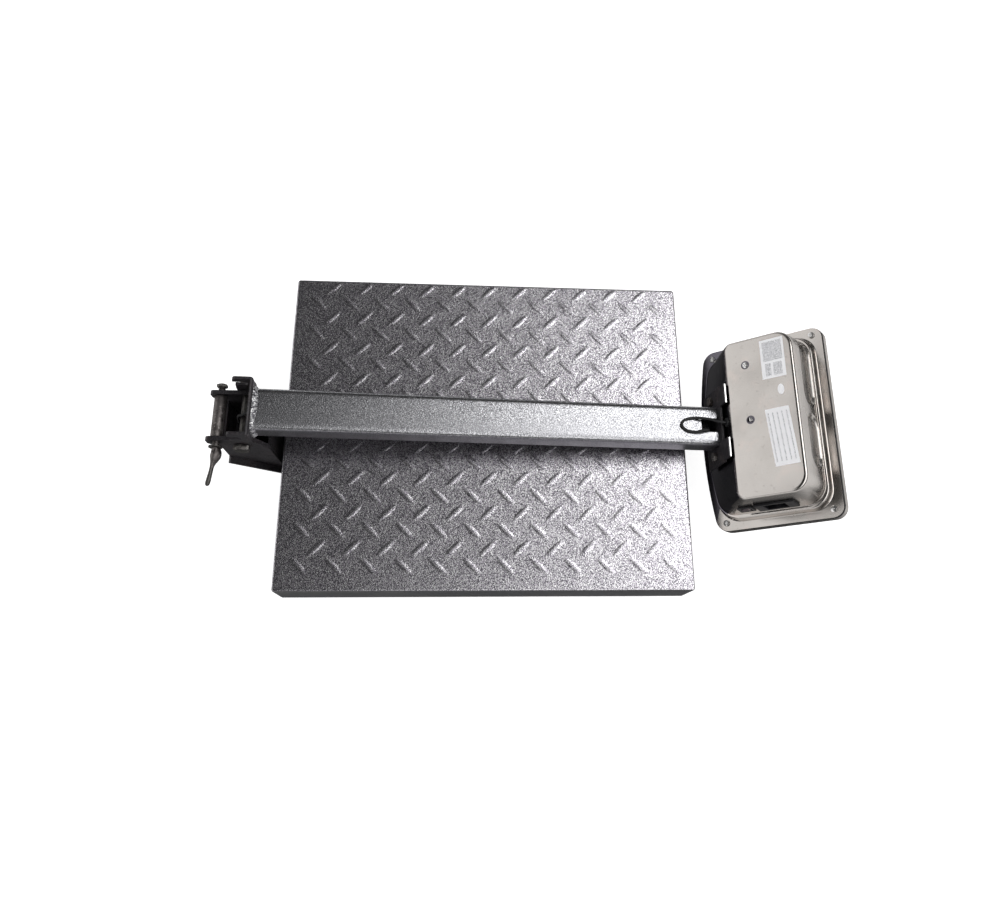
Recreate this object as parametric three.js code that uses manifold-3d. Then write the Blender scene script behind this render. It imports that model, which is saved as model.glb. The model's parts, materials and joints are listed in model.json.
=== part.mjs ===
// Folding platform scale, folded flat: a checkered load plate on a levelled frame with one load cell,
// a hinged column that lies over the plate, and an indicator head at the column's far end.
// Millimetres, +Z up, floor at z = 0. X runs from the hinge (-X) to the head (+X).
import * as THREE from "three";
import { mergeVertices } from "three/addons/utils/BufferGeometryUtils.js";
import Module from "manifold-3d";

const wasm = await Module();
wasm.setup();

// ---- Driving dimensions ----
const GAP = 0.3; // between pieces that touch
const PLATE = { length: 500, width: 400, top: 110, thick: 3, skirt: 59, wall: 2, edge: 4 };
const FRAME = { length: 476, width: 376, bottom: 22, height: 27, wall: 3, flange: 30 };
const FOOT = { x: 205, y: 160, pad: 13, padRadius: 20, stud: 5, studTop: 48 };
const CELL = { length: 130, width: 40, height: 22, spacer: 6 };
const BEAM = { length: 432, width: 60, wall: 3 };
const SPIDER = { length: 430, spread: 140, bar: 30, wall: 3 };
const HINGE_Y = -5; // centre plane of bracket, column and head
const PIVOT = { x: -287, z: 159, radius: 5 };
const LOCK = { x: -317, z: 158, radius: 4, sleeve: 7.25 };
const EAR = { inner: 25.5, thick: 5, top: 167 };
const FOLD_SLOPE = THREE.MathUtils.degToRad(4.33); // the folded column falls towards the head
const TUBE = { start: 12.7, end: 567.8, width: 50, bottom: 4.3, top: 37.9, wall: 2, corner: 6 };
const FOOT_WEB = { x: 8.4, thick: 4, bottom: 9.5, top: 45, half: 34.5 };
const LEG = { inner: 31, outer: 34.5 };
const NOTCH = { length: 22, half: 9 };
const HEAD = { x: 582.8, z: -28.1, tilt: THREE.MathUtils.degToRad(46.13) };
const CASE = { width: 241, height: 160, depth: 68, sheet: 1.5, step: 12, bow: 12 };
const CABLE_RADIUS = 2;
const EAR_OUT = EAR.inner + EAR.thick;

// ---- Materials ----
const paint = (color, roughness, metalness) =>
  new THREE.MeshStandardMaterial({ color, roughness, metalness });
const HAMMER_PAINT = paint(0x8b8b90, 0.45, 0.6);
const SILVER_PAINT = paint(0x9a9ba0, 0.35, 0.7);
const DARK_PAINT = paint(0x2f2e33, 0.5, 0.4);
const STAINLESS = paint(0xb5ada6, 0.28, 1);
const BARE_STEEL = paint(0x8a8782, 0.4, 0.9);
const ALUMINIUM = paint(0xc4c6c8, 0.4, 0.9);
const RUBBER = paint(0x17171a, 0.85, 0);
const BLACK_PLASTIC = paint(0x141416, 0.5, 0);
const SMOKED = paint(0x1c0d0e, 0.1, 0);
const KEY_FILM = paint(0x39424d, 0.5, 0);
const BOARD_GREEN = paint(0x1f5a37, 0.5, 0);
const BATTERY_GREY = paint(0x4a4d52, 0.6, 0);

// ---- Solids ----
// A geometry as a closed manifold solid, and back.
function solid(geometry) {
  const bare = geometry.clone();
  bare.deleteAttribute("normal");
  bare.deleteAttribute("uv");
  const merged = mergeVertices(bare, 1e-4);
  return new wasm.Manifold(
    new wasm.Mesh({
      numProp: 3,
      vertProperties: new Float32Array(merged.attributes.position.array),
      triVerts: new Uint32Array(merged.index.array),
    }),
  );
}

function geometryOf(manifold) {
  const mesh = manifold.getMesh();
  const geometry = new THREE.BufferGeometry();
  geometry.setAttribute("position", new THREE.BufferAttribute(mesh.vertProperties, 3));
  geometry.setIndex(new THREE.BufferAttribute(mesh.triVerts, 1));
  return geometry;
}

const join = (...parts) => geometryOf(parts.map(solid).reduce((a, b) => a.add(b)));
const cut = (body, ...tools) => geometryOf(tools.map(solid).reduce((a, b) => a.subtract(b), solid(body)));
const meet = (a, b) => geometryOf(solid(a).intersect(solid(b)));

function block(x, y, z) {
  const size = [x, y, z].map(([low, high]) => high - low);
  const middle = [x, y, z].map(([low, high]) => (low + high) / 2);
  return new THREE.BoxGeometry(...size).translate(...middle);
}

// A round bar along one axis, from low to high, at the two other coordinates in X, Y, Z order.
function bar(axis, radius, low, high, [a, b], sides = 16) {
  const geometry = new THREE.CylinderGeometry(radius, radius, high - low, sides);
  const middle = (low + high) / 2;
  if (axis === "x") return geometry.rotateZ(-Math.PI / 2).translate(middle, a, b);
  if (axis === "y") return geometry.translate(a, middle, b);
  return geometry.rotateX(Math.PI / 2).translate(a, b, middle);
}

// A shape drawn in the X-Z plane, as a plate from y = low to y = high.
function plateXZ(shape, low, high, curveSegments = 3) {
  const geometry = new THREE.ExtrudeGeometry(shape, {
    depth: high - low,
    bevelEnabled: false,
    curveSegments,
  });
  return geometry.rotateX(Math.PI / 2).translate(0, high, 0);
}

// A shape drawn in the Y-Z plane, as a plate from x = low to x = high.
function plateYZ(shape, low, high, curveSegments = 3) {
  const axes = [
    new THREE.Vector3(0, 1, 0),
    new THREE.Vector3(0, 0, 1),
    new THREE.Vector3(1, 0, 0),
  ];
  const geometry = new THREE.ExtrudeGeometry(shape, {
    depth: high - low,
    bevelEnabled: false,
    curveSegments,
  });
  return geometry.applyMatrix4(new THREE.Matrix4().makeBasis(...axes)).translate(low, 0, 0);
}

function roundedRect(left, right, bottom, top, radius) {
  const shape = new THREE.Shape();
  shape.moveTo(left + radius, bottom);
  shape.lineTo(right - radius, bottom);
  shape.absarc(right - radius, bottom + radius, radius, -Math.PI / 2, 0);
  shape.lineTo(right, top - radius);
  shape.absarc(right - radius, top - radius, radius, 0, Math.PI / 2);
  shape.lineTo(left + radius, top);
  shape.absarc(left + radius, top - radius, radius, Math.PI / 2, Math.PI);
  shape.lineTo(left, bottom + radius);
  shape.absarc(left + radius, bottom + radius, radius, Math.PI, 1.5 * Math.PI);
  return shape;
}

const polygon = (points) => new THREE.Shape(points.map(([x, y]) => new THREE.Vector2(x, y)));

// A cable of round section through a list of points.
function cable(points, steps) {
  const path = new THREE.CatmullRomCurve3(
    points.map((point) => new THREE.Vector3(...point)),
    false,
    "centripetal",
  );
  const section = new THREE.Shape();
  section.absarc(0, 0, CABLE_RADIUS, 0, 2 * Math.PI);
  return new THREE.ExtrudeGeometry(section, { steps, extrudePath: path, curveSegments: 4 });
}

// A hexagon head or nut along an axis.
const hex = (axis, acrossFlats, low, high, at) =>
  bar(axis, acrossFlats / Math.sqrt(3), low, high, at, 6);

const all = new THREE.Group();
const hinge = new THREE.Group();
const column = new THREE.Group();
const head = new THREE.Group();
hinge.position.set(0, HINGE_Y, 0);
column.position.set(PIVOT.x, HINGE_Y, PIVOT.z);
column.rotation.y = FOLD_SLOPE;
head.position.set(HEAD.x, 0, HEAD.z);
head.rotation.y = -HEAD.tilt;
column.add(head);
all.add(hinge, column);

function place(parent, name, geometry, material) {
  const mesh = new THREE.Mesh(geometry, material);
  mesh.name = name;
  parent.add(mesh);
  return mesh;
}

const corners = [
  [1, 1],
  [-1, 1],
  [-1, -1],
  [1, -1],
];

// ---- Levels under the load plate, from the frame up ----
const FRAME_TOP = FRAME.bottom + FRAME.height;
const BEAM_BOTTOM = FRAME.bottom + FRAME.wall + GAP;
const BEAM_TOP = FRAME_TOP;
const LOWER_SPACER = [BEAM_TOP + GAP, BEAM_TOP + GAP + CELL.spacer];
const CELL_Z = [LOWER_SPACER[1] + GAP, LOWER_SPACER[1] + GAP + CELL.height];
const UPPER_SPACER = [CELL_Z[1] + GAP, CELL_Z[1] + GAP + CELL.spacer];
const SPIDER_BOTTOM = UPPER_SPACER[1] + GAP;
const PAD_TOP = PLATE.top - PLATE.thick - GAP;
const PAD_BOTTOM = PAD_TOP - 3;
const SPIDER_TOP = PAD_BOTTOM - GAP;

// ---- Base frame: a welded ring of angle section with a nut boss in each corner ----
function baseFrame() {
  const [hx, hy] = [FRAME.length / 2, FRAME.width / 2];
  const ring = cut(
    block([-hx, hx], [-hy, hy], [FRAME.bottom, FRAME_TOP]),
    block([FRAME.wall - hx, hx - FRAME.wall], [FRAME.wall - hy, hy - FRAME.wall],
      [FRAME.bottom + FRAME.wall, 60]),
    block([FRAME.flange - hx, hx - FRAME.flange], [FRAME.flange - hy, hy - FRAME.flange], [0, 60]),
  );
  const floor = FRAME.bottom + FRAME.wall;
  const plates = corners.map(([sx, sy]) =>
    block([FOOT.x - 24, hx - 1].map((v) => sx * v).sort((a, b) => a - b),
      [FOOT.y - 24, hy - 1].map((v) => sy * v).sort((a, b) => a - b), [floor - 1, floor + 4]));
  const bosses = corners.map(([sx, sy]) => bar("z", 9, floor, floor + 15, [sx * FOOT.x, sy * FOOT.y]));
  const holes = corners.map(([sx, sy]) => bar("z", FOOT.stud + 0.4, 0, 60, [sx * FOOT.x, sy * FOOT.y]));
  const cableNotch = block([-hx - 1, FRAME.wall - hx + 1], [HINGE_Y - 7, HINGE_Y + 7], [36, 60]);
  return cut(join(ring, ...plates, ...bosses), ...holes, cableNotch);
}
place(all, "base_frame", baseFrame(), DARK_PAINT);

// ---- Cross beam, load cell with its spacers, and the four cell bolts ----
const CELL_BOLT_X = [52, 34];
const cellHoles = (sign, radius, low, high) =>
  CELL_BOLT_X.map((x) => bar("z", radius, low, high, [sign * x, 0], 16));

function cellBeam() {
  const [hx, hy] = [BEAM.length / 2, BEAM.width / 2];
  return cut(
    block([-hx, hx], [-hy, hy], [BEAM_BOTTOM, BEAM_TOP]),
    block([-hx - 1, hx + 1], [BEAM.wall - hy, hy - BEAM.wall], [0, BEAM_TOP - BEAM.wall]),
    ...cellHoles(-1, 4.4, 30, 60),
  );
}
place(all, "cell_beam", cellBeam(), DARK_PAINT);

const spacer = (sign, [low, high]) =>
  cut(
    block([20, 65].map((v) => sign * v).sort((a, b) => a - b), [-20, 20], [low, high]),
    ...cellHoles(sign, 4.4, low - 1, high + 1),
  );
place(all, "cell_spacer_lower", spacer(-1, LOWER_SPACER), BARE_STEEL);
place(all, "cell_spacer_upper", spacer(1, UPPER_SPACER), BARE_STEEL);

function loadCell() {
  const middle = (CELL_Z[0] + CELL_Z[1]) / 2;
  const body = block([-CELL.length / 2, CELL.length / 2], [-CELL.width / 2, CELL.width / 2], CELL_Z);
  const eyes = [-12, 12].map((x) => bar("y", 8, -30, 30, [x, middle], 24));
  const slot = block([-12, 12], [-30, 30], [middle - 3, middle + 3]);
  return cut(body, ...eyes, slot,
    ...cellHoles(-1, 4.4, 50, CELL_Z[0] + 15), ...cellHoles(1, 4.4, CELL_Z[1] - 15, 90));
}
place(all, "load_cell", loadCell(), ALUMINIUM);

CELL_BOLT_X.forEach((x, index) => {
  const fromBelow = join(
    hex("z", 13, BEAM_TOP - 9, BEAM_TOP - 3 - GAP, [-x, 0]),
    bar("z", 4, BEAM_TOP - 4, CELL_Z[0] + 14, [-x, 0], 16),
  );
  const fromAbove = join(
    hex("z", 13, SPIDER_BOTTOM + 5 + GAP, SPIDER_BOTTOM + 11, [x, 0]),
    bar("z", 4, CELL_Z[1] - 14, SPIDER_BOTTOM + 6, [x, 0], 16),
  );
  place(all, `cell_bolt_${index + 1}`, fromBelow, BARE_STEEL);
  place(all, `cell_bolt_${index + 3}`, fromAbove, BARE_STEEL);
});

// ---- Top spider: two channels under the plate, joined by a stiffened centre plate ----
function topSpider() {
  const hx = SPIDER.length / 2;
  const channel = (sign) => {
    const y = sign * SPIDER.spread;
    return cut(
      block([-hx, hx], [y - SPIDER.bar / 2, y + SPIDER.bar / 2], [SPIDER_BOTTOM, SPIDER_TOP]),
      block([-hx - 1, hx + 1], [y - SPIDER.bar / 2 + SPIDER.wall, y + SPIDER.bar / 2 - SPIDER.wall],
        [SPIDER_BOTTOM - 1, SPIDER_TOP - SPIDER.wall]),
    );
  };
  const reach = SPIDER.spread - SPIDER.bar / 2 + 1;
  const middle = block([-20, 90], [-reach, reach], [SPIDER_BOTTOM, SPIDER_BOTTOM + 5]);
  const ribs = [[-20, -16], [86, 90]].map((x) =>
    block(x, [-reach, reach], [SPIDER_BOTTOM, SPIDER_TOP - 2]));
  return cut(join(channel(1), channel(-1), middle, ...ribs), ...cellHoles(1, 4.4, 60, 110));
}
place(all, "top_spider", topSpider(), DARK_PAINT);
corners.forEach(([sx, sy], index) => {
  const pad = bar("z", 12, PAD_BOTTOM, PAD_TOP, [sx * 190, sy * SPIDER.spread], 24);
  place(all, `spider_pad_${index + 1}`, pad, RUBBER);
});

// ---- Load plate: a folded pan, open below, with rounded top edges ----
function domed(half, top, bottom, radius) {
  const shape = new THREE.Shape();
  shape.moveTo(-half, bottom);
  shape.lineTo(half, bottom);
  shape.lineTo(half, top - radius);
  shape.absarc(half - radius, top - radius, radius, 0, Math.PI / 2);
  shape.lineTo(radius - half, top);
  shape.absarc(radius - half, top - radius, radius, Math.PI / 2, Math.PI);
  return shape;
}

function loadPlate() {
  const [hx, hy] = [PLATE.length / 2, PLATE.width / 2];
  const bottom = PLATE.top - PLATE.skirt;
  const alongX = plateYZ(domed(hy, PLATE.top, bottom, PLATE.edge), -hx, hx);
  const alongY = plateXZ(domed(hx, PLATE.top, bottom, PLATE.edge), -hy, hy);
  const inside = block([PLATE.wall - hx, hx - PLATE.wall], [PLATE.wall - hy, hy - PLATE.wall],
    [0, PLATE.top - PLATE.thick]);
  return cut(meet(alongX, alongY), inside);
}
place(all, "load_plate", loadPlate(), HAMMER_PAINT);

// ---- Levelling feet: a stud with a flange on a rubber foot ----
corners.forEach(([sx, sy], index) => {
  const at = [sx * FOOT.x, sy * FOOT.y];
  const stud = join(
    bar("z", FOOT.stud, FOOT.pad + GAP, FOOT.studTop, at),
    hex("z", 17, FOOT.pad + GAP, FOOT.pad + 4, at),
  );
  const pad = new THREE.LatheGeometry(
    [[0, 0], [18, 0], [FOOT.padRadius, 2], [FOOT.padRadius, 5], [13, FOOT.pad], [0, FOOT.pad]].map(
      ([x, y]) => new THREE.Vector2(x, y)),
    20,
  );
  place(all, `foot_stud_${index + 1}`, stud, BARE_STEEL);
  place(all, `foot_pad_${index + 1}`, pad.rotateX(Math.PI / 2).translate(...at, 0), RUBBER);
});

// ---- Hinge bracket: two ears joined by walls and a sloping floor with out-turned flanges ----
const SLOPE_TOP = [-317, 94];
const SLOPE_LOW = [-242.3, 26];
const slopeLength = Math.hypot(SLOPE_LOW[0] - SLOPE_TOP[0], SLOPE_LOW[1] - SLOPE_TOP[1]);
const slopeAngle = Math.atan2(SLOPE_TOP[1] - SLOPE_LOW[1], SLOPE_LOW[0] - SLOPE_TOP[0]);

// A strip that lies along the bracket's sloping lower edge.
const slopeStrip = (from, to, y, thick) =>
  block([from, to], y, [0, thick]).rotateY(slopeAngle).translate(SLOPE_TOP[0], 0, SLOPE_TOP[1]);

function hingeBracket() {
  const ear = polygon([
    SLOPE_TOP, SLOPE_LOW, [-242.3, 47], [-257, 47], [-259, 62], [-262, 135], [-276, EAR.top],
    [-325, EAR.top], [-328, EAR.top - 3], [-328, 153], [-324, 148], [-317, 146], [-315.5, 140],
    [-315.5, 100],
  ]);
  const ears = [[EAR.inner, EAR_OUT], [-EAR_OUT, -EAR.inner]].map((y) => plateXZ(ear, ...y));
  const flanges = [[EAR_OUT - 1, EAR_OUT + 8], [-EAR_OUT - 8, 1 - EAR_OUT]].map((y) =>
    slopeStrip(0, slopeLength, y, 4));
  const floor = slopeStrip(3, slopeLength, [-EAR.inner - 1, EAR.inner + 1], 4);
  const endPlate = block([-242.3, -238.3], [-40, 40], [23, 48]);
  const backWall = block([-264, -260], [-EAR.inner - 1, EAR.inner + 1], [68, 132]);
  const frontWall = block([-315.5, -312.5], [-EAR.inner - 1, EAR.inner + 1], [93, 140]);
  const tools = [
    bar("y", PIVOT.radius + GAP, -60, 60, [PIVOT.x, PIVOT.z]),
    bar("y", LOCK.radius + GAP, -60, 60, [LOCK.x, LOCK.z]),
    bar("x", 6, -260, -230, [0, 43]),
  ];
  const stub = block([-258, -242.3], [-EAR.inner - 1, EAR.inner + 1], [30, 34]);
  return cut(join(...ears, ...flanges, floor, endPlate, backWall, frontWall, stub), ...tools);
}
place(hinge, "hinge_bracket", hingeBracket(), DARK_PAINT);

const pivotBolt = join(
  hex("y", 17, -41.3, -LEG.outer - GAP, [PIVOT.x, PIVOT.z]),
  bar("y", PIVOT.radius, -36, 46, [PIVOT.x, PIVOT.z]),
);
place(hinge, "pivot_bolt", pivotBolt, BARE_STEEL);
const nut = (across, radius, low, high, at) =>
  cut(hex("y", across, low, high, at), bar("y", radius + GAP, low - 1, high + 1, at));
place(hinge, "pivot_nut", nut(17, PIVOT.radius, LEG.outer + GAP, 43, [PIVOT.x, PIVOT.z]), BARE_STEEL);

// ---- Column lock: a rod through a sleeve between the ears, pulled tight by a cam lever ----
const lockAt = [LOCK.x, LOCK.z];
const sleeve = cut(
  bar("y", LOCK.sleeve, GAP - EAR.inner, EAR.inner - GAP, lockAt, 28),
  bar("y", LOCK.radius + GAP, -30, 30, lockAt, 24),
);
place(hinge, "lock_sleeve", sleeve, BARE_STEEL);

const WASHER = [-37.2, -35.2];
const CAM = { radius: 6, offset: 1.5, y: WASHER[0] - 0.5 - 6, pin: 1.5, half: 8 };
const washer = cut(
  bar("y", 8, ...WASHER, lockAt, 28),
  bar("y", LOCK.radius + GAP, -40, -30, lockAt, 24),
);
place(hinge, "lock_washer", washer, BARE_STEEL);

const lockRod = join(
  bar("y", LOCK.radius, CAM.y, 45, lockAt, 24),
  bar("z", LOCK.radius, LOCK.z - 3, LOCK.z + 3, [LOCK.x, CAM.y], 24),
  bar("z", CAM.pin, LOCK.z - CAM.half - 0.5, LOCK.z + CAM.half + 0.5, [LOCK.x, CAM.y], 14),
);
place(hinge, "lock_rod", lockRod, BARE_STEEL);
place(hinge, "lock_nut", nut(13, LOCK.radius, 36.3, 42.8, lockAt), BARE_STEEL);

function lockLever() {
  const profile = new THREE.Shape();
  profile.absarc(CAM.offset, 0, CAM.radius, -0.55, Math.PI + 0.4);
  profile.lineTo(-3.6, -13);
  profile.lineTo(0.6, -13);
  const [low, high] = [LOCK.z - CAM.half, LOCK.z + CAM.half];
  const cheeks = new THREE.ExtrudeGeometry(profile, {
    depth: high - low,
    bevelEnabled: false,
    curveSegments: 8,
  }).translate(LOCK.x, CAM.y, low);
  const handle = new THREE.CapsuleGeometry(2.6, 24, 3, 12)
    .rotateX(-0.12).rotateZ(-0.13).translate(LOCK.x - 3.4, CAM.y - 19.5, LOCK.z - 1.4);
  const slotHalf = LOCK.radius + 0.4;
  const slot = [
    block([-slotHalf, 20], [-slotHalf, 20], [-slotHalf, slotHalf]),
    bar("z", slotHalf + 0.2, -slotHalf, slotHalf, [0, 0], 24),
  ].map((tool) => tool.translate(LOCK.x, CAM.y, LOCK.z));
  const pinHole = bar("z", CAM.pin + GAP, low - 1, high + 1, [LOCK.x, CAM.y], 14);
  return cut(join(cheeks, handle), ...slot, pinHole);
}
place(hinge, "lock_lever", lockLever(), BARE_STEEL);

// ---- Load cell cable in the base, up to the pivot ----
const cellEnd = -CELL.length / 2 - GAP;
const baseCable = cable([
  [cellEnd, 0, 66.5], [-80, 0, 64], [-100, -3, 56], [-130, -5, 52.5], [-200, -5, 52], [-222, -5, 50],
  [-236, -5, 43.5], [-246, -5, 43.5], [-254, -5, 47], [-266, -5, 61], [-280, -5, 84], [-291, -5, 112],
  [-296, -5, 138], [-295.6, -5, 156], [-292.5, -5, 164.5], [-287.6, -5, 167.4],
], 64);
place(all, "cable_base", baseCable, RUBBER);

// A rubber ring that lines the cable's hole, along X.
function grommet(low, high, outer, at) {
  const bore = bar("x", CABLE_RADIUS + 2 * GAP, low - 1, high + 1, at, 16);
  return cut(bar("x", outer, low, high, at, 24), bore);
}

// ---- Column: rounded tube with a cable notch, hooked foot bracket and its weld ----
function columnTube() {
  const [low, high] = [TUBE.start, TUBE.end];
  const outer = roundedRect(-TUBE.width / 2, TUBE.width / 2, TUBE.bottom, TUBE.top, TUBE.corner);
  const half = TUBE.width / 2 - TUBE.wall;
  const inner = roundedRect(-half, half, TUBE.bottom + TUBE.wall, TUBE.top - TUBE.wall,
    TUBE.corner - TUBE.wall);
  const notch = block([high - NOTCH.length, high + 1], [-NOTCH.half, NOTCH.half],
    [TUBE.top - 5, TUBE.top + 5]);
  return cut(plateYZ(outer, low, high), plateYZ(inner, low - 1, high + 1), notch);
}
place(column, "column_tube", columnTube(), SILVER_PAINT);

// The foot bracket's legs carry the pivot eyes and the hooks that drop over the lock rod.
const HOOK = { bottom: 24.6, top: 35, end: 4.6 };
function legShape() {
  const right = FOOT_WEB.x + FOOT_WEB.thick;
  const radius = (HOOK.top - HOOK.bottom) / 2;
  const middle = (HOOK.top + HOOK.bottom) / 2;
  const shape = new THREE.Shape();
  shape.moveTo(right, FOOT_WEB.bottom);
  shape.lineTo(right, FOOT_WEB.top);
  shape.lineTo(-4, FOOT_WEB.top);
  shape.absarc(-7, 40, 5, Math.PI / 2, Math.PI);
  shape.lineTo(-12.5, HOOK.top);
  shape.lineTo(HOOK.end - radius, HOOK.top);
  shape.absarc(HOOK.end - radius, middle, radius, Math.PI / 2, -Math.PI / 2, true);
  shape.lineTo(-10.5, HOOK.bottom);
  shape.lineTo(-11, 14);
  shape.absarc(0, 0, 11, Math.PI - 0.1, 2 * Math.PI - 0.2);
  return shape;
}

function footBracket() {
  const right = FOOT_WEB.x + FOOT_WEB.thick;
  const legs = [[LEG.inner, LEG.outer], [-LEG.outer, -LEG.inner]].map((y) => plateXZ(legShape(), ...y));
  const web = block([FOOT_WEB.x, right], [-FOOT_WEB.half, FOOT_WEB.half],
    [FOOT_WEB.bottom, FOOT_WEB.top]);
  const window = block([0, 30], [-18, 18], [FOOT_WEB.bottom + 3, TUBE.top - 6]);
  const eyes = bar("y", PIVOT.radius + GAP, -60, 60, [0, 0], 24);
  return cut(join(web, ...legs), window, eyes);
}
place(column, "foot_bracket", footBracket(), DARK_PAINT);

// The weld runs over the tube's top and down both sides, as far as the web reaches.
function weldBead() {
  const [low, high] = [FOOT_WEB.x + FOOT_WEB.thick + GAP, FOOT_WEB.x + FOOT_WEB.thick + 6];
  const half = TUBE.width / 2;
  const around = (by) =>
    roundedRect(-half - by, half + by, TUBE.bottom - by, TUBE.top + by, TUBE.corner + by);
  const outer = around(3);
  const inner = around(GAP);
  const below = block([0, 40], [-60, 60], [-20, FOOT_WEB.bottom + 2]);
  return cut(plateYZ(outer, low, high), plateYZ(inner, low - 1, high + 1), below);
}
place(column, "weld_bead", weldBead(), BARE_STEEL);
place(column, "column_rest", bar("z", 12, -9.8, TUBE.bottom - GAP, [502, 0], 24), RUBBER);

// ---- Signal cable: inside the column, out at the notch in a loop, and into the head ----
const innerCable = cable([
  [5, 0, 15.6], [12, 0, 20], [24, 0, 22], [60, 0, 20], [280, 0, 14], [470, 0, 16], [500, -2, 18],
  [530, -5, 23],
], 60);
place(column, "signal_cable", innerCable, RUBBER);
const cableLoop = cable([
  [530.3, -5, 23.2], [541, -6, 26.5], [551, -6.4, 33], [553.6, -6.4, 40], [547.5, -7, 43.4],
  [537, -7.8, 40.8], [527, -5.6, 40.3], [523, 0, 40.3], [527, 5.6, 40.3], [536, 7.8, 40.5],
  [547, 7, 42.5], [556, 4.6, 46], [562, 1.6, 49.4], [569, 0, 51.2], [577, 0, 51.2], [588, 0, 51.2],
], 60);
place(column, "cable_loop", cableLoop, RUBBER);

// ---- Head bracket between the column's end and the head's lower wall ----
const BRACKET = { x: [568.2, 571.2], half: 48, bottom: -6, top: 46, tab: [22, 46], tabTop: 62.5 };
const bracketBolts = [-36, 36];
function headBracket() {
  const plate = block(BRACKET.x, [-BRACKET.half, BRACKET.half], [BRACKET.bottom, BRACKET.top]);
  const [near, far] = BRACKET.tab;
  const tabs = [[near, far], [-far, -near]].map((y) =>
    block(BRACKET.x, y, [BRACKET.top - 1, BRACKET.tabTop]));
  const holes = bracketBolts.map((y) => bar("x", 3.4, 560, 580, [y, 20], 16));
  return cut(join(plate, ...tabs), ...holes);
}
place(column, "head_bracket", headBracket(), DARK_PAINT);
bracketBolts.forEach((y, index) => {
  const bolt = join(
    hex("x", 10, BRACKET.x[0] - 4.5, BRACKET.x[0] - GAP, [y, 20]),
    bar("x", 3, BRACKET.x[0] - 1, 580, [y, 20], 14),
  );
  place(column, `bracket_bolt_${index + 1}`, bolt, BARE_STEEL);
});
place(column, "head_grommet", grommet(572.2, 579, 5.6, [0, 51.2]), RUBBER);

// ---- Head: outlines are rounded rectangles in (s, y), with s up the display's height ----
// The low edge bows outwards by the given amount in the middle.
function outline({ low, high, half, radius, lowRadius = radius, bow }) {
  const points = [];
  const arc = (cs, cy, size, from) => {
    for (let i = 0; i <= 4; i += 1) {
      const angle = from + (i / 4) * (Math.PI / 2);
      points.push([cs + size * Math.cos(angle), cy + size * Math.sin(angle)]);
    }
  };
  arc(high - radius, half - radius, radius, 0);
  arc(low + lowRadius, half - lowRadius, lowRadius, Math.PI / 2);
  for (let i = 1; i < 10; i += 1) points.push([low, (half - lowRadius) * (1 - i / 5)]);
  arc(low + lowRadius, lowRadius - half, lowRadius, Math.PI);
  arc(high - radius, radius - half, radius, 1.5 * Math.PI);
  const middle = (low + high) / 2;
  return points.map(([s, y]) => {
    const share = Math.max(0, (middle - s) / (middle - low));
    return [s - bow * share * (1 - (y / half) ** 2), y];
  });
}

// A closed solid through outlines at rising heights, each with the same number of points.
function loft(levels) {
  const rings = levels.map((level) => outline(level).map(([s, y]) => [s, y, level.h]));
  const count = rings[0].length;
  const vertices = rings.flat();
  const triangles = [];
  for (let level = 0; level + 1 < rings.length; level += 1) {
    for (let i = 0; i < count; i += 1) {
      const [a, b] = [level * count + i, level * count + ((i + 1) % count)];
      triangles.push(a, b, b + count, a, b + count, a + count);
    }
  }
  const cap = (ring, base, flip) => {
    const flat = ring.map(([s, y]) => new THREE.Vector2(s, y));
    for (const [a, b, c] of THREE.ShapeUtils.triangulateShape(flat, []))
      triangles.push(...(flip ? [base + a, base + c, base + b] : [base + a, base + b, base + c]));
  };
  cap(rings[0], 0, true);
  cap(rings.at(-1), (rings.length - 1) * count, false);
  const geometry = new THREE.BufferGeometry();
  geometry.setAttribute("position", new THREE.Float32BufferAttribute(vertices.flat(), 3));
  geometry.setIndex(triangles);
  return geometry;
}

const FLANGE = { low: 0, high: CASE.height, half: CASE.width / 2, radius: 14, bow: CASE.bow };
const grown = (level, by) => ({
  ...level,
  low: level.low - by,
  high: level.high + by,
  half: level.half + by,
  radius: level.radius + by,
  lowRadius: (level.lowRadius ?? level.radius) + by,
});
const STEP_FOOT = { low: 9, high: 150, half: 110.5, radius: 26, bow: CASE.bow };
const STEP_TOP = { low: 10, high: 149, half: 109, radius: 25, bow: CASE.bow };
const BOX_FOOT = { low: 12, high: 146, half: 104.5, radius: 24, lowRadius: 20, bow: CASE.bow };
const BOX_SHOULDER = { low: 52, high: 144.5, half: 99.6, radius: 21, lowRadius: 11, bow: 2 };
const BOX_EDGE = { low: 56.5, high: 142.5, half: 97.5, radius: 19, lowRadius: 9, bow: 1 };
const BOX_TOP = { low: 61, high: 137.5, half: 92.5, radius: 15, lowRadius: 6, bow: 0.5 };

const caseScrews = [[147.5, 110.5], [147.5, -110.5], [11.7, 110.5], [11.7, -110.5]];
const backScrews = [[84, 65], [84, -5]];
const SOCKET = { s: 91, h: 33, y: -102.3, tilt: 0.107, length: 50, height: 22 };
const ROCKER = { s: 53.5, h: 33, y: -102.3 };
const wallSpot = (geometry, { s, h, y }) => geometry.rotateX(-SOCKET.tilt).translate(s, y, h);

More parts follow.
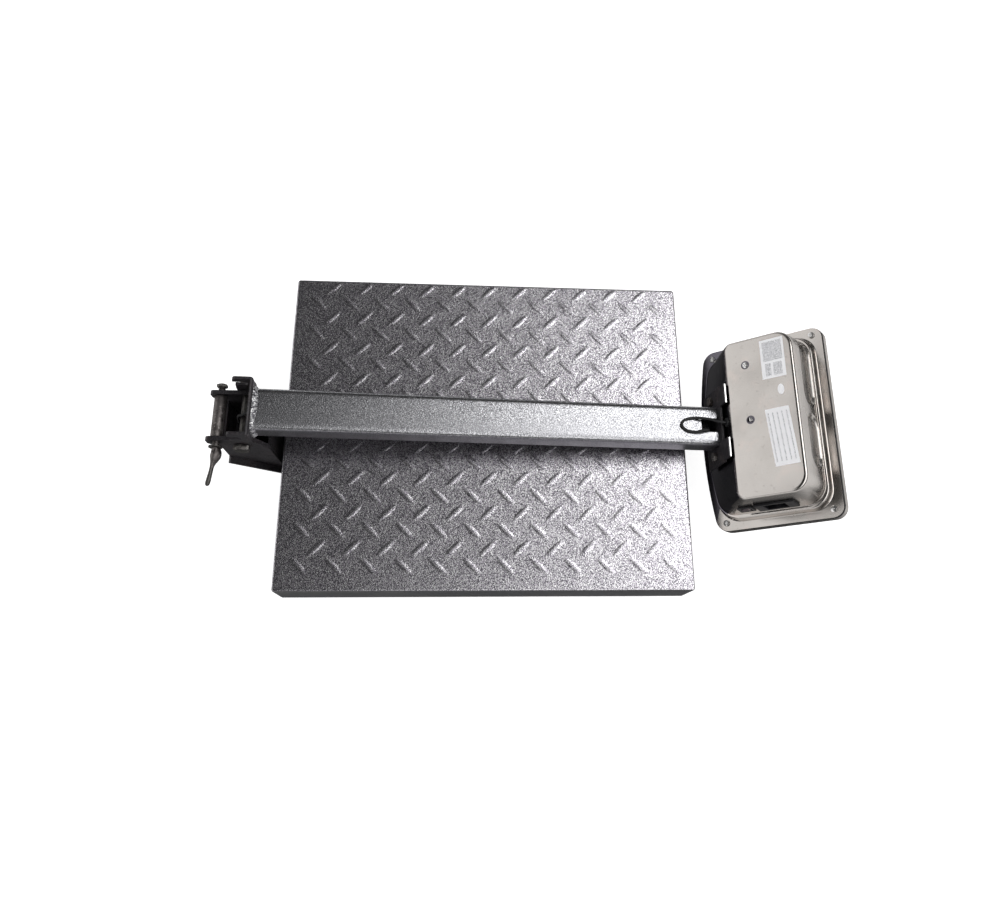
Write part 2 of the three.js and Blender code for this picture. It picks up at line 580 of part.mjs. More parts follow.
function rearCase() {
  const outer = loft([
    { ...FLANGE, h: -CASE.sheet }, { ...FLANGE, h: 0 }, { ...STEP_FOOT, h: 0.01 },
    { ...STEP_TOP, h: CASE.step }, { ...BOX_FOOT, h: CASE.step + 0.01 },
    { ...BOX_SHOULDER, h: 60 }, { ...BOX_EDGE, h: 65.5 }, { ...BOX_TOP, h: CASE.depth },
  ]);
  const inset = (level, h) => ({ ...grown(level, -CASE.sheet), h });
  const inner = loft([
    inset(STEP_FOOT, -3), inset(STEP_FOOT, -CASE.sheet), inset(STEP_TOP, CASE.step - CASE.sheet),
    inset(BOX_FOOT, CASE.step - CASE.sheet + 0.01), inset(BOX_SHOULDER, 59), inset(BOX_EDGE, 64),
    inset(BOX_TOP, CASE.depth - CASE.sheet),
  ]);
  const screwHoles = caseScrews.map((at) => bar("z", 2.4, -5, 5, at, 14));
  const backHoles = backScrews.map((at) => bar("z", 2.4, 60, 75, at, 14));
  const socketHole = wallSpot(block([-18.3, 18.3], [-12, 12], [-9.3, 9.3]), SOCKET);
  const rockerHole = wallSpot(block([-7.3, 7.3], [-12, 12], [-5.3, 5.3]), ROCKER);
  const toHead = (geometry) =>
    geometry.translate(-HEAD.x, 0, -HEAD.z).rotateY(HEAD.tilt);
  const boltHoles = bracketBolts.map((y) => toHead(bar("x", 3.4, 565, 590, [y, 20], 14)));
  const cableHole = toHead(bar("x", 5.9, 565, 590, [0, 51.1], 20));
  return cut(outer, inner, ...screwHoles, ...backHoles, socketHole, rockerHole, ...boltHoles, cableHole);
}
place(head, "rear_case", rearCase(), STAINLESS);

function caseGasket() {
  const [low, high] = [-CASE.sheet - GAP - 2, -CASE.sheet - GAP];
  const outer = grown(FLANGE, 0.6);
  const inner = grown(STEP_FOOT, -2);
  return cut(
    loft([{ ...outer, h: low }, { ...outer, h: high }]),
    loft([{ ...inner, h: low - 1 }, { ...inner, h: high + 1 }]),
    ...caseScrews.map((at) => bar("z", 2.4, -8, 0, at, 14)),
  );
}
place(head, "case_gasket", caseGasket(), RUBBER);

const FRONT = { top: -CASE.sheet - 2 - 2 * GAP, face: -16, wall: 2.5 };
const WINDOW = { s: [92, 138], half: 84 };
function frontPanel() {
  const outer = grown(FLANGE, 0.8);
  const inner = grown(FLANGE, -FRONT.wall);
  const tray = cut(
    loft([
      { ...grown(outer, -2), h: FRONT.face }, { ...outer, h: FRONT.face + 2 }, { ...outer, h: FRONT.top },
    ]),
    loft([{ ...inner, h: FRONT.face + FRONT.wall }, { ...inner, h: FRONT.top + 1 }]),
    block(WINDOW.s, [-WINDOW.half, WINDOW.half], [FRONT.face - 1, FRONT.face + 4]),
  );
  const bosses = caseScrews.map((at) => bar("z", 5, FRONT.face + 1, FRONT.top, at, 14));
  return cut(join(tray, ...bosses), ...caseScrews.map((at) => bar("z", 2.4, -13, 0, at, 14)));
}
place(head, "front_panel", frontPanel(), STAINLESS);

caseScrews.forEach(([s, y], index) => {
  const screw = join(bar("z", 4, GAP, 2.6, [s, y], 18), bar("z", 2, -12.5, 1, [s, y], 12));
  place(head, `case_screw_${index + 1}`, screw, BARE_STEEL);
});
backScrews.forEach(([s, y], index) => {
  const top = CASE.depth;
  const screw = join(
    bar("z", 4, top + GAP, top + 2.2, [s, y], 18),
    bar("z", 2, top - 6, top + 1, [s, y], 12),
  );
  place(head, `back_screw_${index + 1}`, screw, BARE_STEEL);
});

// ---- Mains inlet and power rocker in the head's side wall ----
function mainsInlet() {
  const [halfLength, halfHeight] = [SOCKET.length / 2, SOCKET.height / 2];
  const rim = block([-halfLength, halfLength], [-3, -GAP], [-halfHeight, halfHeight]);
  const body = block([-18, 18], [-1, 22], [-9, 9]);
  const recess = block([-13, 13], [-5, 14], [-8, 8]);
  return wallSpot(cut(join(rim, body), recess), SOCKET);
}
place(head, "mains_inlet", mainsInlet(), BLACK_PLASTIC);

function rockerFrame() {
  const rim = block([-9.5, 9.5], [-2.5, -GAP], [-7.5, 7.5]);
  const body = block([-7, 7], [-1, 16], [-5, 5]);
  const well = block([-6.2, 6.2], [-5, 8], [-4.2, 4.2]);
  return wallSpot(cut(join(rim, body), well), ROCKER);
}
place(head, "rocker_frame", rockerFrame(), BLACK_PLASTIC);

// The rocker's two faces meet at a shallow angle; it tips about an axis along the case's height.
function powerRocker() {
  const shape = polygon([[-4.8, -3.6], [0, -2.2], [4.8, -2.2], [3.6, 4], [-3.6, 4]]);
  const width = 7.8;
  const rocker = new THREE.ExtrudeGeometry(shape, { depth: width, bevelEnabled: false });
  return wallSpot(rocker.translate(0, 0, -width / 2), ROCKER);
}
place(head, "power_rocker", powerRocker(), SMOKED);

// ---- Display, keypad and the pieces inside the head ----
const windowPane = block([WINDOW.s[0] + GAP, WINDOW.s[1] - GAP], [GAP - WINDOW.half, WINDOW.half - GAP],
  [FRONT.face - 0.5, FRONT.face + 1.8]);
place(head, "display_window", windowPane, SMOKED);
const digits = [-2.5, -1.5, -0.5, 0.5, 1.5, 2.5].map((slot) =>
  block([100, 130], [slot * 26 - 10, slot * 26 + 10], [-13.4, -11]));
place(head, "display_board", join(block([88, 142], [-88, 88], [-11.2, -9.6]), ...digits), BOARD_GREEN);

function keypad() {
  const back = FRONT.face - GAP;
  const film = block([18, 80], [-98, 98], [back - 0.8, back]);
  const keys = [];
  for (const s of [32, 64])
    for (const y of [-78, -47, -16, 16, 47, 78])
      keys.push(block([s - 9, s + 9], [y - 12, y + 12], [back - 1.6, back - 0.4]));
  return join(film, ...keys);
}
place(head, "keypad", keypad(), KEY_FILM);

const mainBoard = join(
  block([30, 138], [-70, 95], [-4, -2.4]),
  block([35, 50], [-60, -30], [-3, 4]),
  block([38, 48], [10, 40], [-3, 6]),
  block([60, 100], [-40, -20], [-3, 3]),
);
place(head, "main_board", mainBoard, BOARD_GREEN);
place(head, "battery", block([65, 134], [-12, 86], [14, 59]), BATTERY_GREY);
const transformer = join(block([78, 124], [-66, -20], [14, 50]), block([84, 118], [-70, -16], [20, 44]));
place(head, "transformer", transformer, BARE_STEEL);

// ---- Origin: on the floor, under the middle of the folded scale ----
const extent = new THREE.Box3().setFromObject(all, true);
const scale = new THREE.Group();
all.position.x = -(extent.min.x + extent.max.x) / 2;
all.position.y = -(extent.min.y + extent.max.y) / 2;
all.position.z = -extent.min.z;
scale.add(all);
export default scale;
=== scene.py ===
"""Looks of the folding platform scale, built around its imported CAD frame. Metres, +Z up.

Each piece is drawn in millimetres in the frame of its own sub-assembly (base, hinge, column or
head) and then placed, so that the numbers below are the piece's own sizes.
"""

import json
from math import copysign, cos, dist, hypot, pi, radians, sin, sqrt
from types import SimpleNamespace as Sizes

import bmesh
import bpy
from mathutils import Matrix, Vector, noise
from mathutils.geometry import delaunay_2d_cdt

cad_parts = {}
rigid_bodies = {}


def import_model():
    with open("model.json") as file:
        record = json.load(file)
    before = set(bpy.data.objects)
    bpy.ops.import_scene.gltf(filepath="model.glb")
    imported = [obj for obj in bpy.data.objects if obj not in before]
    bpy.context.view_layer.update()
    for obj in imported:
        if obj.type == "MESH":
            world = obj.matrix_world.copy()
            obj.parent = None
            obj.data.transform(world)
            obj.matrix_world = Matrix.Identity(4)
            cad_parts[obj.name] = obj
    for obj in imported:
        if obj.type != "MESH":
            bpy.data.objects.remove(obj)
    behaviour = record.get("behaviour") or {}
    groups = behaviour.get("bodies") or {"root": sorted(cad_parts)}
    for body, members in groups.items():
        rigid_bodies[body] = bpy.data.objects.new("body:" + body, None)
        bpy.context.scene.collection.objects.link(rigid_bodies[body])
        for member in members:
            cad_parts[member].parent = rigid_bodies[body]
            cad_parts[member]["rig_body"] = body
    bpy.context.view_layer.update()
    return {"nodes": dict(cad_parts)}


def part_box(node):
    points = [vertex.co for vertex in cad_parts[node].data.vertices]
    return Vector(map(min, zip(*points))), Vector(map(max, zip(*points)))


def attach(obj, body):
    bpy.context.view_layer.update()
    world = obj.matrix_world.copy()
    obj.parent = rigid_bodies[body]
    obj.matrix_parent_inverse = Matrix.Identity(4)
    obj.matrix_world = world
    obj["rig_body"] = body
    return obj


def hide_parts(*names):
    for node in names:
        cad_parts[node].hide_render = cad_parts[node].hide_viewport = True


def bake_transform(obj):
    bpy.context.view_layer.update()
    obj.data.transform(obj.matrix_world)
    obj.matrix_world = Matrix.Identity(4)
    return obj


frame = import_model()
MM = 0.001


# ---- Frames of the sub-assemblies, from the CAD's boxes ----
def centre(node):
    low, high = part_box(node)
    return (low + high) / 2


FOLD_SLOPE = radians(4.33)
HEAD_PLACE = Vector((582.8, 0, -28.1))
HEAD_TILT = radians(46.13)

plate_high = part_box("load_plate")[1]
plate_middle = centre("load_plate")
hinge_y = centre("hinge_bracket").y
pivot = Vector((centre("pivot_nut").x, hinge_y, centre("pivot_nut").z))
lock = Vector((centre("lock_nut").x, hinge_y, centre("lock_nut").z))

SCALE = Matrix.Scale(MM, 4)
BASE = Matrix.Translation((plate_middle.x, plate_middle.y, 0)) @ SCALE
LOCK = Matrix.Translation(lock) @ SCALE
COLUMN = Matrix.Translation(pivot) @ Matrix.Rotation(FOLD_SLOPE, 4, "Y") @ SCALE
HEAD = COLUMN @ Matrix.Translation(HEAD_PLACE) @ Matrix.Rotation(-HEAD_TILT, 4, "Y")


# ---- Materials ----
MIX_A, MIX_B, MIX_RESULT = 6, 7, 2  # the colour sockets of a Mix node


def preset(node, **values):
    """Sets a node's sockets, whose names have _ for a space."""
    for socket, value in values.items():
        node.inputs[socket.replace("_", " ")].default_value = value
    return node


class Surface:
    """A Principled material whose colour, roughness and relief are built up by layers of noise."""

    def __init__(self, name, colour, roughness, metallic=0.0, **sockets):
        self.name = name
        self.material = bpy.data.materials.new(name)
        self.material.use_nodes = True
        self.nodes = self.material.node_tree.nodes
        self.links = self.material.node_tree.links
        self.shader = preset(self.nodes["Principled BSDF"], Metallic=metallic, **sockets)
        self.place = self.node("ShaderNodeTexCoord").outputs["Object"]
        base = self.node("ShaderNodeRGB")
        base.outputs[0].default_value = (*colour, 1)
        self.colour = base.outputs[0]
        self.roughness = roughness
        self.normal = None

    def node(self, kind, **settings):
        made = self.nodes.new(kind)
        for key, value in settings.items():
            setattr(made, key, value)
        return made

    def pattern(self, scale, stretch=(1, 1, 1), detail=3.0, offset=0.0):
        mapping = preset(self.node("ShaderNodeMapping"), Scale=stretch, Location=[offset] * 3)
        self.links.new(self.place, mapping.inputs["Vector"])
        made = preset(self.node("ShaderNodeTexNoise"), Detail=detail, Scale=scale)
        self.links.new(mapping.outputs["Vector"], made.inputs["Vector"])
        return made.outputs["Fac"]

    def ramp(self, value, low, high, out_low, out_high):
        made = self.node("ShaderNodeMapRange", interpolation_type="SMOOTHSTEP")
        preset(made, From_Min=low, From_Max=high, To_Min=out_low, To_Max=out_high)
        self.links.new(value, made.inputs["Value"])
        return made.outputs["Result"]

    def mottle(self, scale, colour, amount, low=0.45, high=0.7, **pattern):
        """Patches of a colour, which come in as the noise goes from low to high."""
        mask = self.ramp(self.pattern(scale, **pattern), low, high, 0, amount)
        made = self.node("ShaderNodeMix", data_type="RGBA")
        self.links.new(mask, made.inputs["Factor"])
        self.links.new(self.colour, made.inputs[MIX_A])
        made.inputs[MIX_B].default_value = (*colour, 1)
        self.colour = made.outputs[MIX_RESULT]
        return self

    def gloss(self, scale, spread, low=0.3, high=0.7, **pattern):
        """Roughness that wanders by spread about its middle value."""
        middle = self.roughness
        self.roughness = self.ramp(self.pattern(scale, **pattern), low, high,
                                   middle - spread, middle + spread)
        return self

    def relief(self, scale, height, low=0.3, high=0.7, **pattern):
        """A bump layer, with its height in millimetres."""
        made = preset(self.node("ShaderNodeBump"), Distance=height * MM)
        noise_height = self.ramp(self.pattern(scale, **pattern), low, high, 0, 1)
        self.links.new(noise_height, made.inputs["Height"])
        if self.normal:
            self.links.new(self.normal, made.inputs["Normal"])
        self.normal = made.outputs["Normal"]
        return self

    def done(self):
        self.links.new(self.colour, self.shader.inputs["Base Color"])
        if isinstance(self.roughness, float):
            preset(self.shader, Roughness=self.roughness)
        else:
            self.links.new(self.roughness, self.shader.inputs["Roughness"])
        if self.normal:
            self.links.new(self.normal, self.shader.inputs["Normal"])
        return self.material


# Each look has its colour, roughness and share of metal, then its layers of noise: mottle(scale,
# colour, amount, low, high), gloss(scale, spread) and relief(scale, height, low, high).
LOOKS = (
    # The plate's top lies at z = 0.110 m. Noise fades on a plane where z times its scale is a
    # whole number, so the two speckles have scales that come to about a half there.
    Surface("hammer_paint", (0.57, 0.535, 0.59), 0.26, 0.97)
    .mottle(950, (0.1, 0.095, 0.115), 0.88, 0.43, 0.53, detail=0.0)
    .mottle(999.5, (1.0, 1.0, 1.0), 0.8, 0.53, 0.62, detail=0.0, offset=3.0)
    .mottle(9, (0.52, 0.51, 0.54), 0.12, 0.45, 0.75)
    .gloss(6, 0.008)
    .relief(760, 0.05, 0.2, 0.8, detail=0.0),
    # Painted shade: a dark shade of the plate's paint for its skirt, which stands for the shade on the
    # plate's sides.
    Surface("skirt_painted_shade", (0.09, 0.09, 0.095), 0.5, 0.4)
    .mottle(420, (0.04, 0.04, 0.044), 0.7, 0.4, 0.6)
    .mottle(15, (0.11, 0.108, 0.105), 0.5, 0.5)
    .gloss(10, 0.06)
    .relief(330, 0.2, 0.2, 0.8, detail=1.0),
    Surface("silver_paint", (0.33, 0.33, 0.345), 0.23, 0.97)
    .mottle(1050, (0.12, 0.12, 0.13), 0.85, 0.44, 0.54, detail=0.0)
    .mottle(1150, (0.84, 0.84, 0.86), 0.75, 0.53, 0.63, detail=0.0, offset=4.0)
    .mottle(30, (0.34, 0.34, 0.355), 0.5, stretch=(0.08, 1, 1))
    .gloss(18, 0.03, stretch=(0.15, 1, 1))
    .relief(700, 0.06, 0.2, 0.8, detail=1.0),
    # Painted shade: a darker shade of the silver paint for the column's sides and rounded edges.
    Surface("silver_painted_shade", (0.3, 0.29, 0.32), 0.34, 0.95)
    .mottle(1050, (0.1, 0.1, 0.11), 0.8, 0.44, 0.54, detail=0.0)
    .mottle(30, (0.19, 0.185, 0.2), 0.5, stretch=(0.08, 1, 1))
    .gloss(18, 0.04, stretch=(0.15, 1, 1))
    .relief(620, 0.03, 0.2, 0.8, detail=1.0),
    Surface("bracket_paint", (0.035, 0.032, 0.036), 0.42, 0.35)
    .mottle(60, (0.06, 0.045, 0.045), 0.6, 0.5, 0.72)
    .mottle(400, (0.015, 0.014, 0.016), 0.6, 0.4, 0.6)
    .mottle(180, (0.16, 0.15, 0.15), 0.5, 0.66, 0.74)
    .gloss(40, 0.1)
    .relief(260, 0.25, 0.2, 0.8),
    Surface("stainless", (0.62, 0.585, 0.555), 0.22, 1.0)
    .mottle(14, (0.52, 0.49, 0.46), 0.6)
    .mottle(45, (0.68, 0.6, 0.56), 0.45, 0.52, offset=2.0)
    .mottle(190, (0.42, 0.4, 0.38), 0.35, 0.62, 0.72, offset=6.0)
    .gloss(11, 0.07)
    .relief(500, 0.012, stretch=(0.1, 1, 0.1)),
    # Painted shade and painted reflection: a dark shade of the stainless steel for the head's low side,
    # one flange corner and the back screws' dishes.
    Surface("steel_painted_shade", (0.16, 0.15, 0.175), 0.24, 1.0)
    .mottle(14, (0.1, 0.095, 0.11), 0.6)
    .mottle(60, (0.22, 0.2, 0.22), 0.4, 0.58, 0.72, offset=2.0)
    .gloss(11, 0.07)
    .relief(500, 0.012, stretch=(0.1, 1, 0.1)),
    Surface("zinc_steel", (0.34, 0.32, 0.3), 0.36, 0.9)
    .mottle(90, (0.17, 0.14, 0.12), 0.7, 0.45, 0.65)
    .mottle(300, (0.5, 0.48, 0.45), 0.6, 0.6, 0.72)
    .gloss(70, 0.12)
    .relief(500, 0.08),
    Surface("worn_steel", (0.17, 0.155, 0.15), 0.38, 0.85)
    .mottle(160, (0.08, 0.07, 0.068), 0.8, 0.45, 0.62)
    .mottle(420, (0.5, 0.47, 0.45), 0.6, 0.62, 0.72)
    .gloss(70, 0.12)
    .relief(420, 0.12),
    Surface("dark_steel", (0.1, 0.095, 0.09), 0.4, 0.8)
    .mottle(120, (0.045, 0.04, 0.038), 0.8, 0.45, 0.6)
    .mottle(330, (0.26, 0.24, 0.22), 0.7, 0.62, 0.74)
    .gloss(70, 0.12)
    .relief(420, 0.15),
    Surface("frame_paint", (0.05, 0.05, 0.054), 0.45, 0.3)
    .mottle(300, (0.025, 0.025, 0.028), 0.6, 0.4, 0.62)
    .mottle(700, (0.11, 0.11, 0.115), 0.4, 0.6, 0.72)
    .gloss(60, 0.08)
    .relief(500, 0.08),
    Surface("bright_steel", (0.85, 0.84, 0.83), 0.25, 0.9)
    .mottle(200, (0.6, 0.58, 0.56), 0.6, 0.5)
    .gloss(90, 0.08),
    Surface("weld_metal", (0.5, 0.5, 0.51), 0.3, 0.85)
    .mottle(300, (0.06, 0.055, 0.07), 0.9, 0.44, 0.54)
    .mottle(420, (1.0, 1.0, 1.0), 0.95, 0.52, 0.6, offset=5.0)
    .relief(420, 0.4, 0.25, 0.75)
    .relief(900, 0.2, 0.25, 0.75),
    Surface("cell_aluminium", (0.62, 0.63, 0.64), 0.38, 0.95)
    .mottle(80, (0.5, 0.51, 0.52), 0.5, 0.45, 0.65, stretch=(0.1, 1, 1))
    .gloss(60, 0.08, stretch=(0.1, 1, 1))
    .relief(900, 0.03, 0, 1, stretch=(0.04, 1, 1)),
    Surface("rubber", (0.012, 0.012, 0.013), 0.62)
    .mottle(60, (0.03, 0.029, 0.028), 0.6, 0.5)
    .gloss(80, 0.1)
    .relief(700, 0.08),
    Surface("black_plastic", (0.008, 0.008, 0.01), 0.42, Specular_IOR_Level=0.25)
    .mottle(50, (0.03, 0.03, 0.032), 0.5, 0.5, 0.75)
    .gloss(60, 0.08)
    .relief(1100, 0.05),
    Surface("smoked_plastic", (0.03, 0.012, 0.018), 0.12, Coat_Weight=0.6, Coat_Roughness=0.06)
    .mottle(25, (0.045, 0.02, 0.026), 0.6)
    .gloss(40, 0.04),
    Surface("key_film", (0.04, 0.055, 0.075), 0.42)
    .mottle(20, (0.05, 0.07, 0.095), 0.6, 0.4)
    .gloss(50, 0.06)
    .relief(1200, 0.03),
    Surface("board", (0.02, 0.11, 0.045), 0.4, Coat_Weight=0.3)
    .mottle(120, (0.03, 0.16, 0.06), 0.8, 0.48, 0.56, stretch=(0.3, 1, 1))
    .gloss(90, 0.08)
    .relief(300, 0.05, 0, 1),
    Surface("battery_case", (0.08, 0.085, 0.095), 0.5)
    .mottle(60, (0.11, 0.115, 0.125), 0.5)
    .gloss(60, 0.08)
    .relief(900, 0.06),
    Surface("paper", (0.93, 0.93, 0.95), 0.55)
    .mottle(60, (0.86, 0.85, 0.87), 0.5)
    .gloss(100, 0.06)
    .relief(900, 0.02, 0, 1),
    # Grey speckle that stands for a label's printing, with nothing to read in it.
    Surface("print_marks", (0.85, 0.85, 0.87), 0.5)
    .mottle(1300, (0.3, 0.3, 0.32), 0.8, 0.4, 0.62, detail=0.0)
    .gloss(100, 0.06)
    .relief(900, 0.01, 0, 1),
)
M = {look.name: look.done() for look in LOOKS}


# ---- Mesh code ----
def placed(name, data):
    """A new object in the scene."""
    made = bpy.data.objects.new(name, data)
    bpy.context.scene.collection.objects.link(made)
    return made


def turns_of(count):
    """The angles of a full turn in equal steps."""
    return [2 * pi * k / count for k in range(count)]


def link(name, mesh, body, look, nodes=()):
    """The mesh as a piece that rides on a body and stands for CAD nodes."""
    if not mesh.materials:
        mesh.materials.append(M[look])
    piece = placed(name, mesh)
    if body:
        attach(piece, body)
    if nodes:
        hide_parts(*nodes)
    return piece


def smooth(mesh, angle):
    mesh.polygons.foreach_set("use_smooth", [True] * len(mesh.polygons))
    mesh.set_sharp_from_angle(angle=radians(angle))


def make(name, shape, place, body, look, nodes=(), sharp=40):
    """A piece from (vertices, faces) drawn in millimetres."""
    vertices, faces = shape
    mesh = bpy.data.meshes.new(name)
    mesh.from_pydata([place @ Vector(v) for v in vertices], [], faces)
    bm = bmesh.new()
    bm.from_mesh(mesh)
    bmesh.ops.remove_doubles(bm, verts=bm.verts, dist=1e-6)
    bmesh.ops.recalc_face_normals(bm, faces=bm.faces)
    bm.to_mesh(mesh)
    bm.free()
    smooth(mesh, sharp)
    return link(name, mesh, body, look, nodes)


def stand_in(node, shape, place, look, sharp=40):
    """A drawn piece that stands for one CAD node, on that node's body."""
    return make(node + "_finished", shape, place, frame["nodes"][node]["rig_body"], look, [node], sharp)


def joined(*shapes):
    """Several (vertices, faces) as one."""
    vertices, faces = [], []
    for more_vertices, more_faces in shapes:
        start = len(vertices)
        vertices += [Vector(v) for v in more_vertices]
        faces += [[start + i for i in face] for face in more_faces]
    return vertices, faces


def moved(shape, matrix):
    return [matrix @ Vector(v) for v in shape[0]], shape[1]


def stacked(rings, cap=(True, True)):
    """Faces through closed rings of equal length; cap says whether the first and last are filled."""
    count = len(rings[0])
    vertices = [Vector(p) for ring in rings for p in ring]
    faces = []
    for level in range(len(rings) - 1):
        for i in range(count):
            a, b = level * count + i, level * count + (i + 1) % count
            faces.append([a, b, b + count, a + count])
    if cap[0]:
        faces.append(list(range(count))[::-1])
    if cap[1]:
        faces.append([(len(rings) - 1) * count + i for i in range(count)])
    return vertices, faces


def lathe(profile, turns=48):
    """A profile of (radius, height) points turned about Z."""
    rings = [[(radius * cos(a), radius * sin(a), height) for a in turns_of(turns)]
             for radius, height in profile]
    return stacked(rings, cap=(profile[0][0] > 0, profile[-1][0] > 0))


def rounded(points, radius, steps=4, closed=False):
    """A polyline with its inner corners rounded; points may have any number of coordinates.
    radius is one number, or one for each point."""
    points = [Vector(p) for p in points]
    count = len(points)
    radii = radius if isinstance(radius, (list, tuple)) else [radius] * count
    made = []
    for i, point in enumerate(points):
        if radii[i] == 0 or (not closed and i in (0, count - 1)):
            made.append(point)
            continue
        before, after = points[i - 1] - point, points[(i + 1) % count] - point
        reach = min(radii[i], 0.49 * before.length, 0.49 * after.length)
        start, end = point + before.normalized() * reach, point + after.normalized() * reach
        for k in range(steps + 1):
            t = k / steps
            made.append(start * (1 - t) ** 2 + point * (2 * t * (1 - t)) + end * t**2)
    return made


def between(a, b, ta, tb, t):
    """The point at t on the line that is at a when t is ta, and at b when it is tb."""
    return a * ((tb - t) / (tb - ta)) + b * ((t - ta) / (tb - ta))


def curve_through(points, steps=8):
    """A centripetal Catmull-Rom curve."""
    points = [Vector(p) for p in points]
    points = [2 * points[0] - points[1], *points, 2 * points[-1] - points[-2]]
    made = []
    for p0, p1, p2, p3 in zip(points, points[1:], points[2:], points[3:]):
        knots = [0.0]
        for a, b in ((p0, p1), (p1, p2), (p2, p3)):
            knots.append(knots[-1] + sqrt((b - a).length))
        t0, t1, t2, t3 = knots
        for k in range(steps):
            t = t1 + (t2 - t1) * k / steps
            a1, a2 = between(p0, p1, t0, t1, t), between(p1, p2, t1, t2, t)
            a3 = between(p2, p3, t2, t3, t)
            b1, b2 = between(a1, a2, t0, t2, t), between(a2, a3, t1, t3, t)
            made.append(between(b1, b2, t1, t2, t))
    return made + [points[-2]]


def tube_along(path, radius, sides=14):
    """A round tube along a dense path."""
    path = [Vector(p) for p in path]
    side = None
    rings = []
    for i, point in enumerate(path):
        forward = (path[min(i + 1, len(path) - 1)] - path[max(i - 1, 0)]).normalized()
        side = side or forward.orthogonal()
        side = (side - forward * side.dot(forward)).normalized()
        up = forward.cross(side)
        rings.append([point + (side * cos(a) + up * sin(a)) * radius for a in turns_of(sides)])
    return stacked(rings)


REFINED_SHARP = 30  # degrees


def refined(node, look, bevel=0.5, place=None, edit=None, segments=2):
    """A CAD node's own shape with eased edges. edit(bm) changes it first, in place's millimetres."""
    source = frame["nodes"][node]
    bm = bmesh.new()
    bm.from_mesh(source.data)
    bmesh.ops.remove_doubles(bm, verts=bm.verts, dist=1e-6)
    bmesh.ops.dissolve_limit(bm, angle_limit=radians(1), verts=bm.verts, edges=bm.edges)
    if edit:
        bm.transform(place.inverted())
        edit(bm)
        bm.transform(place)
    clean = bpy.data.meshes.new("clean")
    vertices = [v.co.copy() for v in bm.verts]
    bm.verts.index_update()
    faces = [[v.index for v in face.verts] for face in bm.faces]
    bm.free()
    clean.from_pydata(vertices, [], faces)
    smooth(clean, REFINED_SHARP)
    piece = link(node + "_finished", clean, source["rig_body"], look, [node])
    easing = piece.modifiers.new("eased_edges", "BEVEL")
    easing.width = bevel * MM
    easing.segments = segments
    easing.limit_method = "ANGLE"
    easing.angle_limit = radians(REFINED_SHARP)
    easing.harden_normals = True
    return piece


def baked(piece):
    """Applies a piece's modifiers."""
    bpy.context.view_layer.update()
    graph = bpy.context.evaluated_depsgraph_get()
    mesh = bpy.data.meshes.new_from_object(piece.evaluated_get(graph), depsgraph=graph)
    piece.modifiers.clear()
    piece.data = mesh
    return piece


def carve(piece, *shapes_and_places):
    """Cuts closed shapes out of a piece."""
    for index, (shape, place) in enumerate(shapes_and_places):
        cutter = make(f"cutter_{index}", shape, place, None, "zinc_steel")
        cut = piece.modifiers.new("cut", "BOOLEAN")
        cut.operation = "DIFFERENCE"
        cut.solver = "EXACT"
        cut.object = cutter
        baked(piece)
        bpy.data.objects.remove(cutter)
    return piece


def repaint(piece, look, chosen):
    """Gives a second look to the faces that chosen(centre, normal) picks."""
    piece.data.materials.append(M[look])
    index = len(piece.data.materials) - 1
    for face in piece.data.polygons:
        if chosen(face.center, face.normal):
            face.material_index = index
    return piece


EVENED_SHARP = 35  # degrees


def evened(piece):
    """Smooth shading that keeps large flat faces flat."""
    smooth(piece.data, EVENED_SHARP)
    even = piece.modifiers.new("even_normals", "WEIGHTED_NORMAL")
    even.keep_sharp = True
    return piece


def soft_box(x, y, z, radius=1.0, steps=3):
    """A box with its four Z-edges rounded."""
    corners = [(x[0], y[0]), (x[1], y[0]), (x[1], y[1]), (x[0], y[1])]
    outline = rounded(corners, radius, steps, closed=True)
    return stacked([[(p[0], p[1], height) for p in outline] for height in z])


# ---- Load plate: a pan of tread plate with two families of raised lens bars ----
PLATE = Sizes(length=500, width=400, top=110, thick=3, wall=2, bottom=51, edge=2.6, corner=3.4,
              wall_corner=1.4)
PLATE_FLAT = Sizes(inset=PLATE.edge + 0.4, corner=0.8)  # where the flat top ends
SKIRT_NORMAL = 0.75  # faces that look less far up than this get the skirt's painted shade
PAN_STEPS = Sizes(long=26, short=20, arc=6)
TREAD = Sizes(pitch=(40.4, 42.35), first=(20.7, -1.1), between=-0.8, length=29, width=7.4, height=0.4,
              slope=radians(43), overhang=(1, 2), margin=0.5)
BAR_POINTS = 22
# Rings of a bar from its foot inwards: share of its size, share of its height.
BAR_RINGS = ((1.25, 0.0), (1.0, 0.06), (0.82, 0.38), (0.6, 0.72), (0.35, 0.94), (0.12, 1.0))
CDT_REACH = 1e-5  # points closer than this are one point to the triangulation


def pan_loop(inset, corner):
    """A rounded rectangle, drawn inset from the plate's sides, always with the same points."""
    arc = PAN_STEPS.arc
    hx, hy = PLATE.length / 2 - inset, PLATE.width / 2 - inset
    points = []
    for index, (cx, cy) in enumerate(((hx, hy), (-hx, hy), (-hx, -hy), (hx, -hy))):
        mx, my = copysign(hx - corner, cx), copysign(hy - corner, cy)
        for k in range(arc + 1):
            angle = (index + k / arc) * pi / 2
            points.append((mx + corner * cos(angle), my + corner * sin(angle)))
        ahead = ((-1, 0), (0, -1), (1, 0), (0, 1))[index]
        run = 2 * (hx if index % 2 == 0 else hy) - 2 * corner
        count = PAN_STEPS.long if index % 2 == 0 else PAN_STEPS.short
        x, y = points[-1]
        for k in range(1, count):
            points.append((x + ahead[0] * run * k / count, y + ahead[1] * run * k / count))
    return points


